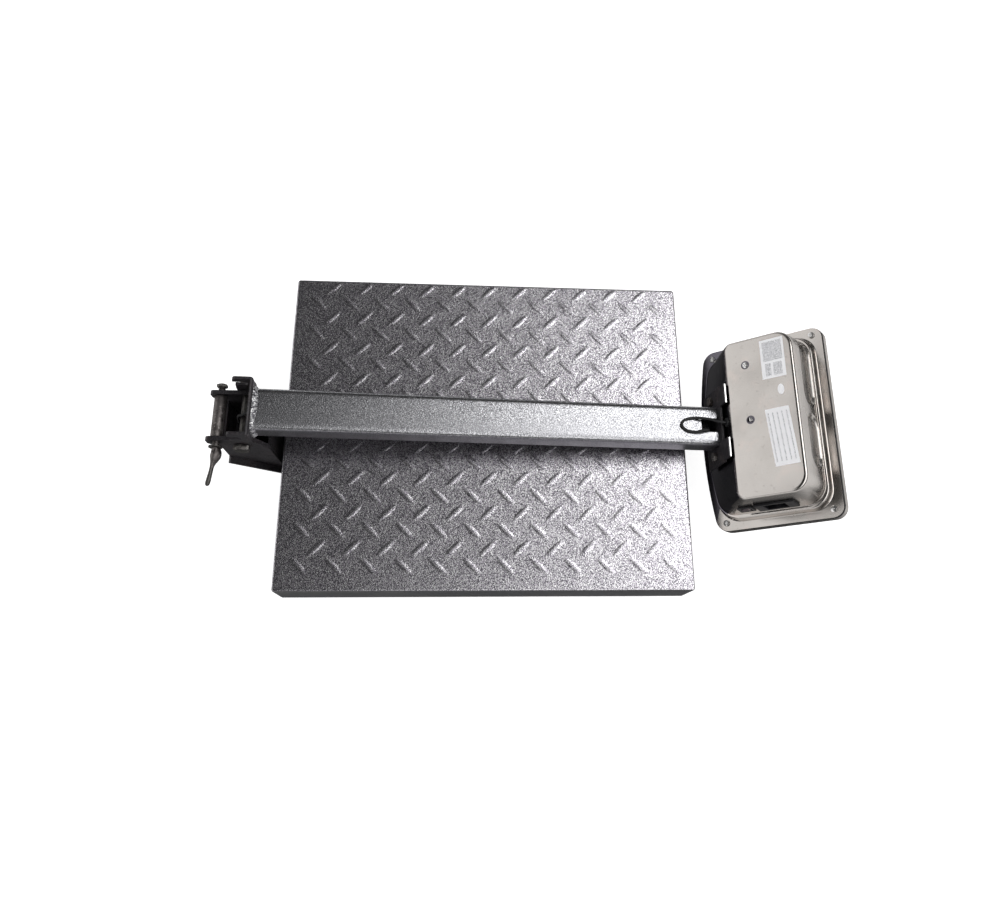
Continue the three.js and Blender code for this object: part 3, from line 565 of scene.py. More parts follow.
def tread_bars():
    """Each bar's centre and its slope."""
    (px, py), (x0, y0) = TREAD.pitch, TREAD.first
    bars = []
    for i in range(-7, 8):
        for j in range(-5, 6):
            bars.append((x0 + i * px, y0 + j * py, -TREAD.slope))
            bars.append((x0 + (i + 0.5) * px + TREAD.between, y0 + (j + 0.5) * py, TREAD.slope))
    reach = TREAD.length / 2 * cos(TREAD.slope)
    over_x, over_y = TREAD.overhang
    return [b for b in bars if abs(b[0]) < PLATE.length / 2 - reach + over_x
            and abs(b[1]) < PLATE.width / 2 - reach + over_y]


def bar_length_share(size):
    """A ring's share of the bar's length; the bar's ends are steeper than its sides."""
    return 0.12 + 0.88 * size if size > 0.9 else 0.1 + 0.9 * size


def tread_top():
    """The plate's flat top with its bars, as one surface inside the first pan loop."""
    edge, margin = PLATE_FLAT.inset, TREAD.margin
    border = pan_loop(edge, PLATE_FLAT.corner)
    limit = (PLATE.length / 2 - edge - margin, PLATE.width / 2 - edge - margin)
    points = [Vector(p) for p in border]
    heights = [0.0] * len(points)
    edges = [(i, (i + 1) % len(border)) for i in range(len(border))]
    for x, y, slope in tread_bars():
        along = Vector((cos(slope), sin(slope)))
        across = Vector((-along.y, along.x))
        for size, height in BAR_RINGS:
            start = len(points)
            for angle in turns_of(BAR_POINTS):
                u = cos(angle) * TREAD.length / 2 * bar_length_share(size)
                v = copysign(abs(sin(angle)) ** 1.05, sin(angle)) * TREAD.width / 2 * size
                spot = Vector((x, y)) + along * u + across * v
                inside = all(abs(spot[axis]) < limit[axis] for axis in (0, 1))
                spot = Vector([max(-limit[axis], min(limit[axis], spot[axis])) for axis in (0, 1)])
                points.append(spot)
                heights.append(height * TREAD.height if inside else 0.0)
            edges += [(start + k, start + (k + 1) % BAR_POINTS) for k in range(BAR_POINTS)]
    flat, _, faces, originals, _, _ = delaunay_2d_cdt(points, edges, [], 0, CDT_REACH)
    vertices = []
    for spot, sources in zip(flat, originals):
        height = max((heights[s] for s in sources), default=0.0)
        vertices.append(Vector((spot.x, spot.y, PLATE.top + height)))
    return vertices, [list(f) for f in faces]


def load_plate():
    """The pan: its top, then loops of (inset, corner, height) over the edge and up inside."""
    top, bottom, edge, wall = PLATE.top, PLATE.bottom, PLATE.edge, PLATE.wall
    corner, inner = PLATE.corner, PLATE.wall_corner
    loops = [(PLATE_FLAT.inset, PLATE_FLAT.corner, top)]
    for k in range(7):
        angle = k / 6 * pi / 2
        inset = edge * (1 - sin(angle))
        loops.append((inset, corner - inset, top - edge * (1 - cos(angle))))
    loops += [(0, corner, bottom + 0.5), (0.5, 3, bottom), (wall - 0.4, 1.6, bottom),
              (wall, inner, bottom + 0.4), (wall, inner, top - PLATE.thick)]
    sides = stacked([[(*p, h) for p in pan_loop(inset, radius)] for inset, radius, h in loops],
                    cap=(False, True))
    piece = stand_in("load_plate", joined(tread_top(), sides), BASE, "hammer_paint", 55)
    # The skirt's faces get the painted shade.
    return repaint(piece, "skirt_painted_shade", lambda centre, normal: normal.z < SKIRT_NORMAL)


load_plate()


# ---- Pieces that keep the CAD's shape, and the feet ----
# Look, width of the eased edges, nodes.
REFINED = (
    ("frame_paint", 0.6, "base_frame cell_beam top_spider"),
    ("cell_aluminium", 0.5, "load_cell"),
    ("zinc_steel", 0.4, "cell_spacer_lower cell_spacer_upper cell_bolt_1 cell_bolt_2 cell_bolt_3 "
     "cell_bolt_4 bracket_bolt_1 bracket_bolt_2"),
    ("rubber", 0.5, "spider_pad_1 spider_pad_2 spider_pad_3 spider_pad_4"),
    ("bracket_paint", 0.8, "hinge_bracket"),
    ("rubber", 0.8, "column_rest"),
    ("rubber", 0.6, "head_grommet"),
    ("black_plastic", 0.4, "rocker_frame"),
    ("smoked_plastic", 0.3, "display_window"),
    ("board", 0.2, "display_board main_board"),
    ("key_film", 0.3, "keypad"),
    ("dark_steel", 0.8, "transformer"),
)
for look, bevel, nodes in REFINED:
    for node in nodes.split():
        refined(node, look, bevel)
for node, look, bevel in (("mains_inlet", "black_plastic", 0.7), ("power_rocker", "smoked_plastic", 0.5),
                          ("battery", "battery_case", 1.5)):
    refined(node, look, bevel, segments=3)

FOOT = Sizes(stud=5, root=4.3, top=48, seat=13.3, thread=17.5, pitch=1.5, hex_top=16.7)
FOOT_PAD = [(0, 0.6), (14, 0.6), (15, 0), (18.6, 0), (19.8, 1.2), (20, 3), (19.6, 5), (17.5, 7),
            (14.8, 9.4), (13.4, 11.6), (12.6, 12.8), (11.6, 13), (0, 13)]
HEX_ACROSS = 17  # over the flats of the feet's hexagons and the pivot bolt's head and nut
HEX_END = 0.95  # radius of a hexagon's end face, as a share of the way to its flats
HEX_CHAMFER = 0.58  # height of its turned corners for each millimetre they are cut back


def foot(index):
    place = Matrix.Translation(Vector((*centre(f"foot_pad_{index}").xy, 0))) @ SCALE
    stand_in(f"foot_pad_{index}", lathe(rounded(FOOT_PAD, 0.5, 2)), place, "rubber")
    stud, root, top, pitch = FOOT.stud, FOOT.root, FOOT.top, FOOT.pitch
    thread = [(0, FOOT.seat), (root, FOOT.seat)]
    height = FOOT.thread
    while height < top - pitch:
        thread += [(root, height), (stud - 0.05, height + pitch / 2)]
        height += pitch
    thread += [(stud - 0.9, top - 0.3), (stud - 1.4, top), (0, top)]
    hexagon = hex_nut(HEX_ACROSS, FOOT.seat, FOOT.hex_top)
    stand_in(f"foot_stud_{index}", joined(lathe(thread, 32), hexagon), place, "zinc_steel")


def hex_nut(across, low, high, bore=0.0):
    """A hexagon with its corners turned off at both ends, along Z."""
    flat, corner = across / 2, across / sqrt(3)
    chamfer = (corner - flat) * HEX_CHAMFER

    def ring(height, limit):
        points = []
        for angle in turns_of(48):
            to_flat = flat / cos((angle + pi / 6) % (pi / 3) - pi / 6)
            radius = min(to_flat, limit)
            points.append((radius * cos(angle), radius * sin(angle), height))
        return points

    rings = [ring(low, flat * HEX_END), ring(low + chamfer, corner), ring(high - chamfer, corner),
             ring(high, flat * HEX_END)]
    if not bore:
        return stacked(rings)
    return stacked([*rings, ring(high, bore), ring(low, bore), rings[0]], cap=(False, False))


for index in range(1, 5):
    foot(index)


# ---- Hinge: pivot bolt and lock ----
ALONG_Y = Matrix.Rotation(-pi / 2, 4, "X")  # turns a piece drawn along Z to lie along +Y
PIVOT = Matrix.Translation(pivot) @ SCALE @ ALONG_Y
ROD = LOCK @ ALONG_Y

# Profiles of (radius, height along +Y), measured from the hinge's middle.
EARS = 34.9  # half the width over the bracket's ears
LEVER_Y = -43.7  # the lock rod's end, with the lever's pin
PIVOT_BOLT = [(0, -36), (5, -36), (5, 44.6), (4.2, 46), (0, 46)]
SLEEVE = [(4.4, -25.2), (6.6, -25.2), (7.25, -24.4), (7.25, 24.4), (6.6, 25.2), (4.4, 25.2), (4.4, -25.2)]
WASHER = [(4.4, -37.2), (7.6, -37.2), (8, -36.9), (8, -35.5), (7.6, -35.2), (4.4, -35.2), (4.4, -37.2)]
LOCK_ROD = [(0, LEVER_Y), (4, LEVER_Y), (4, 33)]
for step in range(6):
    LOCK_ROD += [(3.4, 33.6 + 1.2 * step), (3.98, 34.2 + 1.2 * step)]
LOCK_ROD += [(3.2, 40.9), (0, 41.2)]
LEVER_PIN = [(0, -8.5), (1.5, -8.5), (1.5, 8.5), (0, 8.5)]

bolt = joined(hex_nut(HEX_ACROSS, -41.3, -EARS), lathe(PIVOT_BOLT, 32))
stand_in("pivot_bolt", bolt, PIVOT, "dark_steel")
stand_in("pivot_nut", hex_nut(HEX_ACROSS, EARS, 43, 5.3), PIVOT, "zinc_steel")
stand_in("lock_sleeve", lathe(SLEEVE), ROD, "worn_steel")
stand_in("lock_washer", lathe(WASHER), ROD, "dark_steel")
upright = Matrix.Translation((0, 0, LEVER_Y)) @ Matrix.Rotation(pi / 2, 4, "X")
rod = joined(lathe(LOCK_ROD, 32), moved(lathe(LEVER_PIN, 20), upright))
stand_in("lock_rod", rod, ROD, "worn_steel")
stand_in("lock_nut", hex_nut(11.5, 36.3, 40, 4.2), ROD, "dark_steel")

# The cam lever is a cast leaf with a slim handle: its sections are ellipses along Y.
LEVER = [  # distance along -Y from the pin, middle in X, half width, half height, drop in Z
    (-6.4, 1.5, 3.4, 5.6, 0), (-6, 1.5, 4.4, 7, 0), (-4.6, 1.5, 5.2, 7.8, 0), (-2.4, 1.6, 5.8, 8, 0),
    (0, 1.6, 6.1, 8.1, 0), (3, 1.4, 6.2, 8, 0), (6, 0.9, 5.4, 7.4, 0.2), (9, 0.1, 4.2, 6.2, 0.6),
    (12, -0.9, 3.1, 4.6, 1), (15, -1.7, 2.5, 3.3, 1.3), (18, -2.2, 2.35, 2.8, 1.5),
    (24, -3.1, 2.5, 2.7, 1.7), (30, -4, 2.75, 2.8, 1.9), (34, -4.6, 2.8, 2.8, 2),
    (36.2, -4.9, 2.4, 2.4, 2.1), (37.6, -5.1, 1.5, 1.5, 2.1), (38.1, -5.2, 0.5, 0.5, 2.1),
]
LEVER_HANDLE = 17  # distance from the pin where the darker handle begins
LEVER_SLOT = ((-4.5, 20), (LEVER_Y - 4.6, 10), (-4.5, 4.5), 0.5)


def lock_lever():
    rings = [[(middle + wide * cos(a), LEVER_Y - along, -drop + high * sin(a))
              for a in turns_of(28)] for along, middle, wide, high, drop in curve_through(LEVER, 3)]
    piece = stand_in("lock_lever", stacked(rings), LOCK, "worn_steel", 50)
    to_lock = LOCK.inverted()
    repaint(piece, "dark_steel", lambda centre, normal: (to_lock @ centre).y < LEVER_Y - LEVER_HANDLE)
    return carve(piece, (soft_box(*LEVER_SLOT), LOCK))


lock_lever()


# ---- Column: tube, foot bracket, weld and cables ----
TUBE = Sizes(start=12.7, end=567.8, half=25, bottom=4.3, top=37.9, wall=2, corner=8)
TUBE_STEP, TUBE_STEPS = 40, 14
TUBE_TOP_NORMAL = 0.6  # faces that look less far up than this get the painted shade of the silver paint
NOTCH = Sizes(start=545.8, half=9, steps=6)


def tube_section(inset, corner):
    """The tube's section with its notch corners first; both walls have the same points."""
    half, low, high = TUBE.half - inset, TUBE.bottom + inset, TUBE.top - inset
    notch = NOTCH.half
    corners = [(notch, high), (half, high), (half, low), (-half, low), (-half, high), (-notch, high)]
    outline = rounded(corners, [0, corner, corner, corner, corner, 0], 8)
    steps = NOTCH.steps
    return outline + [(-notch + 2 * notch * k / steps, high) for k in range(1, steps)]


def column_tube():
    outer = tube_section(0, TUBE.corner)
    inner = tube_section(TUBE.wall, TUBE.corner - TUBE.wall)
    count, lid_start = len(outer), len(outer) - NOTCH.steps
    stations = [TUBE.start + TUBE_STEP * k for k in range(TUBE_STEPS)] + [NOTCH.start, TUBE.end]
    vertices, faces = [], []
    for x in stations:
        vertices += [(x, *p) for p in outer] + [(x, *p) for p in inner]
    last = len(stations) - 1

    def at(level, wall, i):
        return (2 * level + wall) * count + i % count

    def rim(level, i):
        """Joins the outer wall's edge to the inner wall's."""
        faces.append([at(level, 0, i), at(level, 0, i + 1), at(level, 1, i + 1), at(level, 1, i)])

    for level in range(last):
        for i in range(count):
            if level == last - 1 and i >= lid_start:
                rim(level, i)
                continue
            for wall, a, b in ((0, i, i + 1), (1, i + 1, i)):
                faces.append([at(level, wall, a), at(level, wall, b), at(level + 1, wall, b),
                              at(level + 1, wall, a)])
    for i in (0, lid_start):
        faces.append([at(last - 1, 0, i), at(last, 0, i), at(last, 1, i), at(last - 1, 1, i)])
    for level in (0, last):
        for i in range(count if level == 0 else lid_start):
            rim(level, i)
    piece = stand_in("column_tube", (vertices, faces), COLUMN, "silver_paint", 30)
    # The tube's sides and rounded edges get the painted shade.
    return repaint(piece, "silver_painted_shade", lambda centre, normal: normal.z < TUBE_TOP_NORMAL)


column_tube()

WEB = Sizes(face=12.4, half=34.5, bend=3.5)


def round_web_bends(bm):
    """Eases the two upright bends where the legs leave the web."""
    bends = [e for e in bm.edges if all(abs(v.co.x - WEB.face) < 0.1
                                        and abs(abs(v.co.y) - WEB.half) < 0.1 for v in e.verts)]
    bmesh.ops.bevel(bm, geom=bends, offset=WEB.bend, segments=5, profile=0.5, affect="EDGES")


refined("foot_bracket", "bracket_paint", 0.5, COLUMN, round_web_bends)

BEAD = Sizes(wide=4.2, tall=2.6, ripple=2.6, end=11.5, sunk=0.6, lap=0.2, step=0.7, arc=9)


def weld_bead():
    """A fillet of overlapping ripples along the tube's top and sides."""
    half, top, face = TUBE.half, TUBE.top, WEB.face
    path = rounded([(-half, BEAD.end), (-half, top), (half, top), (half, BEAD.end)],
                   TUBE.corner, 8)
    dense = []
    for a, b in zip(path, path[1:]):
        count = max(1, round((b - a).length / BEAD.step))
        dense += [a.lerp(b, k / count) for k in range(count)]
    dense.append(path[-1])
    rings, run = [], 0.0
    for i, point in enumerate(dense):
        ahead = (dense[min(i + 1, len(dense) - 1)] - dense[max(i - 1, 0)]).normalized()
        out = Vector((-ahead.y, ahead.x))
        run += (dense[i] - dense[i - 1]).length if i else 0
        ripple = (run / BEAD.ripple) % 1.0
        wander = noise.noise(Vector((run * 0.12, 0.3, 0)))
        rough = noise.noise(Vector((run * 0.9, 7.0, 0)))
        swell = 1 + 0.22 * sqrt(ripple) + 0.35 * wander + 0.12 * rough
        wide, tall = BEAD.wide * swell, BEAD.tall * swell
        sunk = point - out * BEAD.sunk
        ring = [(face - BEAD.lap, *sunk), (face + wide, *sunk)]
        for k in range(BEAD.arc):
            angle = k / (BEAD.arc - 1) * pi / 2
            lump = 1 + 0.1 * noise.noise(Vector((run * 0.7, angle * 3, 2.0)))
            ring.append((face + wide * lump * cos(angle) ** 0.9,
                         *(point + out * tall * lump * sin(angle))))
        ring.append((face - BEAD.lap, *(point + out * tall)))
        rings.append(ring)
    return stand_in("weld_bead", stacked(rings), COLUMN, "weld_metal", 70)


weld_bead()

CABLE = 1.6  # its radius
BASE_RUN = [
    (-65.3, 0, 66.5), (-80, 0, 64), (-100, -3, 56), (-130, -5, 52.5), (-200, -5, 52), (-222, -5, 50),
    (-236, -5, 43.5), (-246, -5, 43.5), (-254, -5, 47), (-266, -5, 61), (-280, -5, 84), (-291, -5, 112),
    (-296, -5, 138), (-295.6, -5, 156), (-292.5, -5, 164.5), (-287.6, -5, 167.4),
]
COLUMN_RUN = [
    (5, 0, 15.6), (12, 0, 20), (24, 0, 22), (60, 0, 20), (280, 0, 14), (470, 0, 16), (500, -2, 18),
    (530, -5, 23),
]
LOOP_RUN = [
    (530.3, -5, 23.2), (541, -6, 26.5), (551, -7, 33), (553.6, -7.4, 40), (547.5, -8.6, 43.4),
    (537, -10.2, 40.8), (526, -8.4, 39.9), (519.8, -2, 39.9), (523, 4, 39.9), (533, 7.4, 40.2),
    (545, 7, 42.5), (556, 4.6, 46), (562, 1.6, 49.4), (569, 0, 51.2), (577, 0, 51.2), (588, 0, 51.2),
]
for node, run, place in (("cable_base", BASE_RUN, BASE), ("signal_cable", COLUMN_RUN, COLUMN),
                         ("cable_loop", LOOP_RUN, COLUMN)):
    stand_in(node, tube_along(curve_through(run), CABLE), place, "rubber")

# The stretch over the pivot is one curved piece, attached to no body. It covers the ends of both cables.
BRIDGE_LAP = 0.7  # as a share of each cable's end stretch
BRIDGE_BOW = Vector((-0.001, 0, 0.0012))
start = BASE @ Vector(BASE_RUN[-1])
end = COLUMN @ Vector(COLUMN_RUN[0])
before = BASE @ Vector(BASE_RUN[-2])
beyond = COLUMN @ Vector(COLUMN_RUN[1])
bridge = [before.lerp(start, 1 - BRIDGE_LAP), start, (start + end) / 2 + BRIDGE_BOW, end,
          end.lerp(beyond, BRIDGE_LAP)]
bridge_shape = tube_along(curve_through([p / MM for p in bridge], 10), CABLE + 0.05)
link_piece = make("cable_bridge", bridge_shape, SCALE, None, "rubber")
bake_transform(link_piece)


# ---- Head: sheet-metal rear case, front panel, screws, labels and bracket ----
SHEET = 1.5  # its thickness
FLANGE = (0, 160, 120.5, 14, 14, 12)
# Each row: low side, high side, half width, corner radii at the high and the low side, bow of the
# low side, height; then how far the profile is eased there.
SHELL = [
    ((*FLANGE, 0), 0), ((9, 150, 110.5, 26, 26, 12, 0), 2.6), ((10, 149, 109, 25, 25, 12, 12), 4.5),
    ((12, 146, 104.5, 24, 20, 12, 12), 2.2), ((58.7, 144.25, 98.8, 20.6, 10, 0.4, 68), 10),
    ((66, 130, 85, 12, 5, 0.2, 68), 0),
]
# Long recesses pressed into the case's high side: range in Y, range in height, depth.
POCKETS = [((12, 95), (15, 42), 2.2), ((-64, -2), (15, 42), 2.2)]
POCKET_WALL = Sizes(facing=0.4, low=12.5, high=50)  # where the wall can be pressed in
POCKET_EASE = (-1.8, 1.2)  # from inside a pocket's outline to outside it
WALL_TOP = 4  # the row of SHELL at the top of the tall wall
WALL_ROWS, WALL_ROWS_USED = 30, 25  # the wall's last rows are left to the eased corner above it


def case_outline(low, high, half, radius, low_radius, bow, arc=10, high_side=90, low_side=20,
                 short_side=8):
    """One turn of the case's outline as (point, outward direction)."""
    turn = []

    def corner(cs, cy, size, start):
        for k in range(arc + 1):
            angle = start + k / arc * pi / 2
            out = Vector((cos(angle), sin(angle)))
            turn.append((Vector((cs, cy)) + out * size, out))

    def side(a, b, count):
        out = Vector((b[1] - a[1], a[0] - b[0])).normalized()
        for k in range(1, count):
            turn.append((Vector(a).lerp(Vector(b), k / count), out))

    s0, s1, y0, y1 = low + low_radius, high - radius, half - low_radius, half - radius
    corner(s1, y1, radius, 0)
    side((s1, half), (s0, half), short_side)
    corner(s0, y0, low_radius, pi / 2)
    side((low, y0), (low, -y0), low_side)
    corner(s0, -y0, low_radius, pi)
    side((s0, -half), (s1, -half), short_side)
    corner(s1, -y1, radius, 1.5 * pi)
    side((high, -y1), (high, y1), high_side)
    middle = (low + high) / 2
    bowed = []
    for point, out in turn:
        share = max(0.0, (middle - point.x) / (middle - low))
        bowed.append((Vector((point.x - bow * share * (1 - (point.y / half) ** 2), point.y)), out))
    return bowed


def ease(low, high, value):
    t = min(1.0, max(0.0, (value - low) / (high - low)))
    return t * t * (3 - 2 * t)


def pocket_depth(y, h):
    """How far the wall is pressed in, from each pocket's rounded rectangle."""
    depth = 0.0
    for (y0, y1), (h0, h1), press in POCKETS:
        cy, ch, corner = (y0 + y1) / 2, (h0 + h1) / 2, (h1 - h0) / 2 - 0.5
        dy, dh = abs(y - cy) - (y1 - y0) / 2 + corner, abs(h - ch) - (h1 - h0) / 2 + corner
        outside = hypot(max(dy, 0), max(dh, 0)) + min(max(dy, dh), 0) - corner
        depth = max(depth, press * (1 - ease(*POCKET_EASE, outside)))
    return depth


def case_levels():
    """The shell's levels with its corners eased and its tall wall cut into fine rows."""
    keys, radii = [], []
    for index, (row, radius) in enumerate(SHELL):
        if index == WALL_TOP:
            foot_row = Vector(SHELL[index - 1][0])
            keys += [foot_row.lerp(Vector(row), k / WALL_ROWS) for k in range(1, WALL_ROWS_USED + 1)]
            radii += [0] * WALL_ROWS_USED
        keys.append(Vector(row))
        radii.append(radius)
    return rounded(keys, radii, 6)


def case_rings():
    rings = []
    for *outline, h in case_levels():
        in_band = POCKET_WALL.low < h < POCKET_WALL.high
        ring = []
        for point, out in case_outline(*outline):
            press = pocket_depth(point.y, h) if in_band and out.x > POCKET_WALL.facing else 0.0
            ring.append((point.x - out.x * press, point.y - out.y * press, h))
        rings.append(ring)
    return rings


def on_inlet_wall(s):
    """The place at s on the case's leaning -Y wall."""
    return Matrix.Translation((s, -102.3, 33)) @ Matrix.Rotation(-0.107, 4, "X")


SOCKET, ROCKER = on_inlet_wall(91), on_inlet_wall(53.5)
CORNER_SCREWS = [(147.5, 110.5), (147.5, -110.5), (11.7, 110.5), (11.7, -110.5)]
BACK_SCREWS = [(84, 65), (84, -5)]
BRACKET_BOLTS = (-36, 36)
ALONG_X = Matrix.Rotation(pi / 2, 4, "Y")


def peg(radius, low, high, turns=32):
    return lathe([(radius, low), (radius, high)], turns)


SOCKET_HOLE = soft_box((-18.3, 18.3), (-12, 12), (-9.3, 9.3), 0.5)
ROCKER_HOLE = soft_box((-7.3, 7.3), (-12, 12), (-5.3, 5.3), 0.5)
GROMMET_HOLE, BOLT_HOLE, SCREW_HOLE = peg(5.9, 565, 590), peg(3.4, 565, 590), peg(2.4, -5, 5)
DISH = lathe([(2.4, 60), (2.4, 67.1), (5.4, 68.02), (5.4, 75)], 40)
DISH_REACH, DISH_BOTTOM = 5.2, 60
# Painted shade and painted reflection on the low side: below a line that leaves the flange at s = foot,
# and at the flange's +Y corner, the steel gets a dark shade that stands for a dark reflection.
LOW_SIDE = Sizes(foot=9, rise=0.78, top=66, inlet_wall=-101)
LOW_CORNER = Sizes(y=95, s=60, h=12)


def rear_case():
    rings = stacked(case_rings(), cap=(False, True))
    piece = stand_in("rear_case", rings, HEAD, "stainless")
    if piece.data.polygons[0].normal.dot(HEAD.to_3x3() @ Vector((0, 0, 1))) < 0:
        piece.data.flip_normals()
    sheet = piece.modifiers.new("sheet", "SOLIDIFY")
    sheet.thickness = SHEET * MM
    sheet.offset = -1
    baked(piece)
    cuts = [(SOCKET_HOLE, HEAD @ SOCKET), (ROCKER_HOLE, HEAD @ ROCKER),
            (GROMMET_HOLE, COLUMN @ Matrix.Translation((0, 0, 51.1)) @ ALONG_X)]
    cuts += [(SCREW_HOLE, HEAD @ Matrix.Translation((*at, 0))) for at in CORNER_SCREWS]
    cuts += [(DISH, HEAD @ Matrix.Translation((*at, 0))) for at in BACK_SCREWS]
    cuts += [(BOLT_HOLE, COLUMN @ Matrix.Translation((0, y, 20)) @ ALONG_X) for y in BRACKET_BOLTS]
    carve(piece, *cuts)
    to_head = HEAD.inverted()

    # Picks the faces with the painted shade: the low side, the flange's +Y corner, and the back screws'
    # dishes as painted shadow in their recess.
    def on_low_side(centre, normal):
        s, y, h = to_head @ centre
        in_dish = h > DISH_BOTTOM and any(dist((s, y), at) < DISH_REACH for at in BACK_SCREWS)
        in_corner = y > LOW_CORNER.y and s < LOW_CORNER.s and h < LOW_CORNER.h
        low = s < LOW_SIDE.foot + LOW_SIDE.rise * max(0, h) or in_corner
        return in_dish or (h < LOW_SIDE.top and y > LOW_SIDE.inlet_wall and low)

    return evened(repaint(piece, "steel_painted_shade", on_low_side))


rear_case()


PANEL = Sizes(top=-4.1, face=-16, wall=2.5, lip=0.8, back=-8, bend=3.2)
PANEL_STEPS = (8, 12, 20, 8)
WINDOW = Sizes(s=(92, 138), half=84)
GASKET = ((-12, -3.8), (0.4, -3.8), (0.6, -3.6), (0.6, -2), (0.4, -1.8), (-12, -1.8), (-12, -3.8))


def panel_ring(grow, h):
    """The flange's outline, grown by a distance, at a height."""
    low, high, half, radius, low_radius, bow = FLANGE
    turn = case_outline(low - grow, high + grow, half + grow, radius + grow, low_radius + grow, bow,
                        *PANEL_STEPS)
    return [(*point, h) for point, _ in turn]


def front_panel():
    """A shallow pressed tray with a window opening."""
    top, face, wall, lip = PANEL.top, PANEL.face, PANEL.wall, PANEL.lip
    profile = rounded([(lip, top), (lip, face), (PANEL.back, face)], PANEL.bend, 6)
    piece = stand_in("front_panel", stacked([panel_ring(*row) for row in profile]), HEAD, "stainless")
    hollow = stacked([panel_ring(-wall, face + wall), panel_ring(-wall, top + 1)])
    window = soft_box(WINDOW.s, (-WINDOW.half, WINDOW.half), (face - 1, face + 4), 2)
    evened(carve(piece, (hollow, HEAD), (window, HEAD)))


front_panel()
gasket = stacked([panel_ring(*row) for row in GASKET], cap=(False, False))
stand_in("case_gasket", gasket, HEAD, "rubber")

SCREW = Sizes(radius=4, shank=2, cross=0.55, slot=0.42, deep=1.1)


def cross_screw(node, at, low, high):
    """A pan-head screw with a cross recess."""
    radius, shank = SCREW.radius, SCREW.shank
    head = lathe([(0, low), (radius, low), (radius, low + 0.5), (radius * 0.93, high - 0.7),
                  (radius * 0.7, high - 0.2), (radius * 0.35, high), (0, high)], 40)
    thread = lathe([(0, low - 6), (shank - 0.3, low - 6), (shank, low - 5.5), (shank, low + 0.2),
                    (0, low + 0.2)], 24)
    place = HEAD @ Matrix.Translation((*at, 0))
    piece = stand_in(node, joined(head, thread), place, "bright_steel")
    long, wide = ((-half, half) for half in (radius * SCREW.cross, SCREW.slot))
    turn = place @ Matrix.Rotation(0.4 + at[1], 4, "Z")
    arms = [(soft_box(x, y, (high - SCREW.deep, high + 1), 0.15), turn)
            for x, y in ((long, wide), (wide, long))]
    return evened(carve(piece, *arms))


for index, at in enumerate(CORNER_SCREWS, 1):
    cross_screw(f"case_screw_{index}", at, 0.3, 2.6)
for index, at in enumerate(BACK_SCREWS, 1):
    cross_screw(f"back_screw_{index}", at, 67.1, 69)

BACK = 68  # height of the case's back
PAPER, PRINT, GAP = 0.15, 0.04, 0.01  # thickness of a label and of its print, and the gap under each
SQUARE_LABEL = [(104.5, 41), (134, 41), (134, 91), (104.5, 91)]
SQUARE_PRINT = ((107.5, 131.5, 63, 88), (109, 116, 44, 60), (119, 130, 44, 60))
LONG_LABEL = [Vector(corner) for corner in ((102.8, 3.4), (108.9, -66.8), (138.3, -66.1), (132, 3.5))]
ROWS, ROW_INK, ROW_ENDS = 5, (0.4, 0.68), (0.07, 0.93)
OVAL = Sizes(middle=(125.3, 25), radii=(4, 6.5), levels=(0.02, 0.12))


def spread_label(name, corners, h=BACK, thick=PAPER, look="paper"):
    """A thin sheet with its four corners given on the case's back."""
    outline = rounded(corners, 0.8, 3, closed=True)
    shape = stacked([[(*p, height) for p in outline] for height in (h + GAP, h + thick)])
    return make(name, shape, HEAD, "column", look)


def print_area(name, corners):
    return spread_label(name, corners, BACK + PAPER, PRINT, "print_marks")


spread_label("label_square", SQUARE_LABEL)
for index, (s0, s1, y0, y1) in enumerate(SQUARE_PRINT, 1):
    print_area(f"label_square_print_{index}", [(s0, y0), (s1, y0), (s1, y1), (s0, y1)])
spread_label("label_long", LONG_LABEL)
first, second, third, fourth = LONG_LABEL
for row in range(ROWS):
    edges = []
    for ink in ROW_INK:
        share = (row + ink) / (ROWS + 0.2)
        near, far = first.lerp(fourth, share), second.lerp(third, share)
        edges.append([near.lerp(far, along) for along in ROW_ENDS])
    print_area(f"label_long_print_{row + 1}", [*edges[0], *reversed(edges[1])])
(s, y), (rs, ry) = OVAL.middle, OVAL.radii
oval = [(s + rs * cos(a), y + ry * sin(a)) for a in turns_of(24)]
oval_shape = stacked([[(*p, BACK + level) for p in oval] for level in OVAL.levels])
make("label_oval", oval_shape, HEAD, "column", "paper")

pins = [soft_box((x - 2, x + 2), (1, 13.5), (z - 1, z + 1), 0.4)
        for x, z in ((-7, -1.5), (7, -1.5), (0, 3.5))]
make("inlet_pins", joined(*pins), HEAD @ SOCKET, "column", "bright_steel")

# The head bracket's two tabs have bright edges from TAB.split along the column: bare steel with a painted
# highlight.
TAB = Sizes(split=569.7, above=62)


def split_tabs(bm):
    bmesh.ops.bisect_plane(bm, geom=bm.verts[:] + bm.edges[:] + bm.faces[:],
                           plane_co=(TAB.split, 0, 0), plane_no=(1, 0, 0))


def on_tab_edge(centre, normal):
    x, _, z = COLUMN.inverted() @ centre
    return x > TAB.split and z > TAB.above


# The tab edges get bright steel as a painted highlight.
repaint(refined("head_bracket", "bracket_paint", 0.5, COLUMN, split_tabs), "bright_steel", on_tab_edge)


# ---- Floor, lights, world and camera ----
FLOOR_SIZE, FLOOR_GLOW = 6.0, 0.75


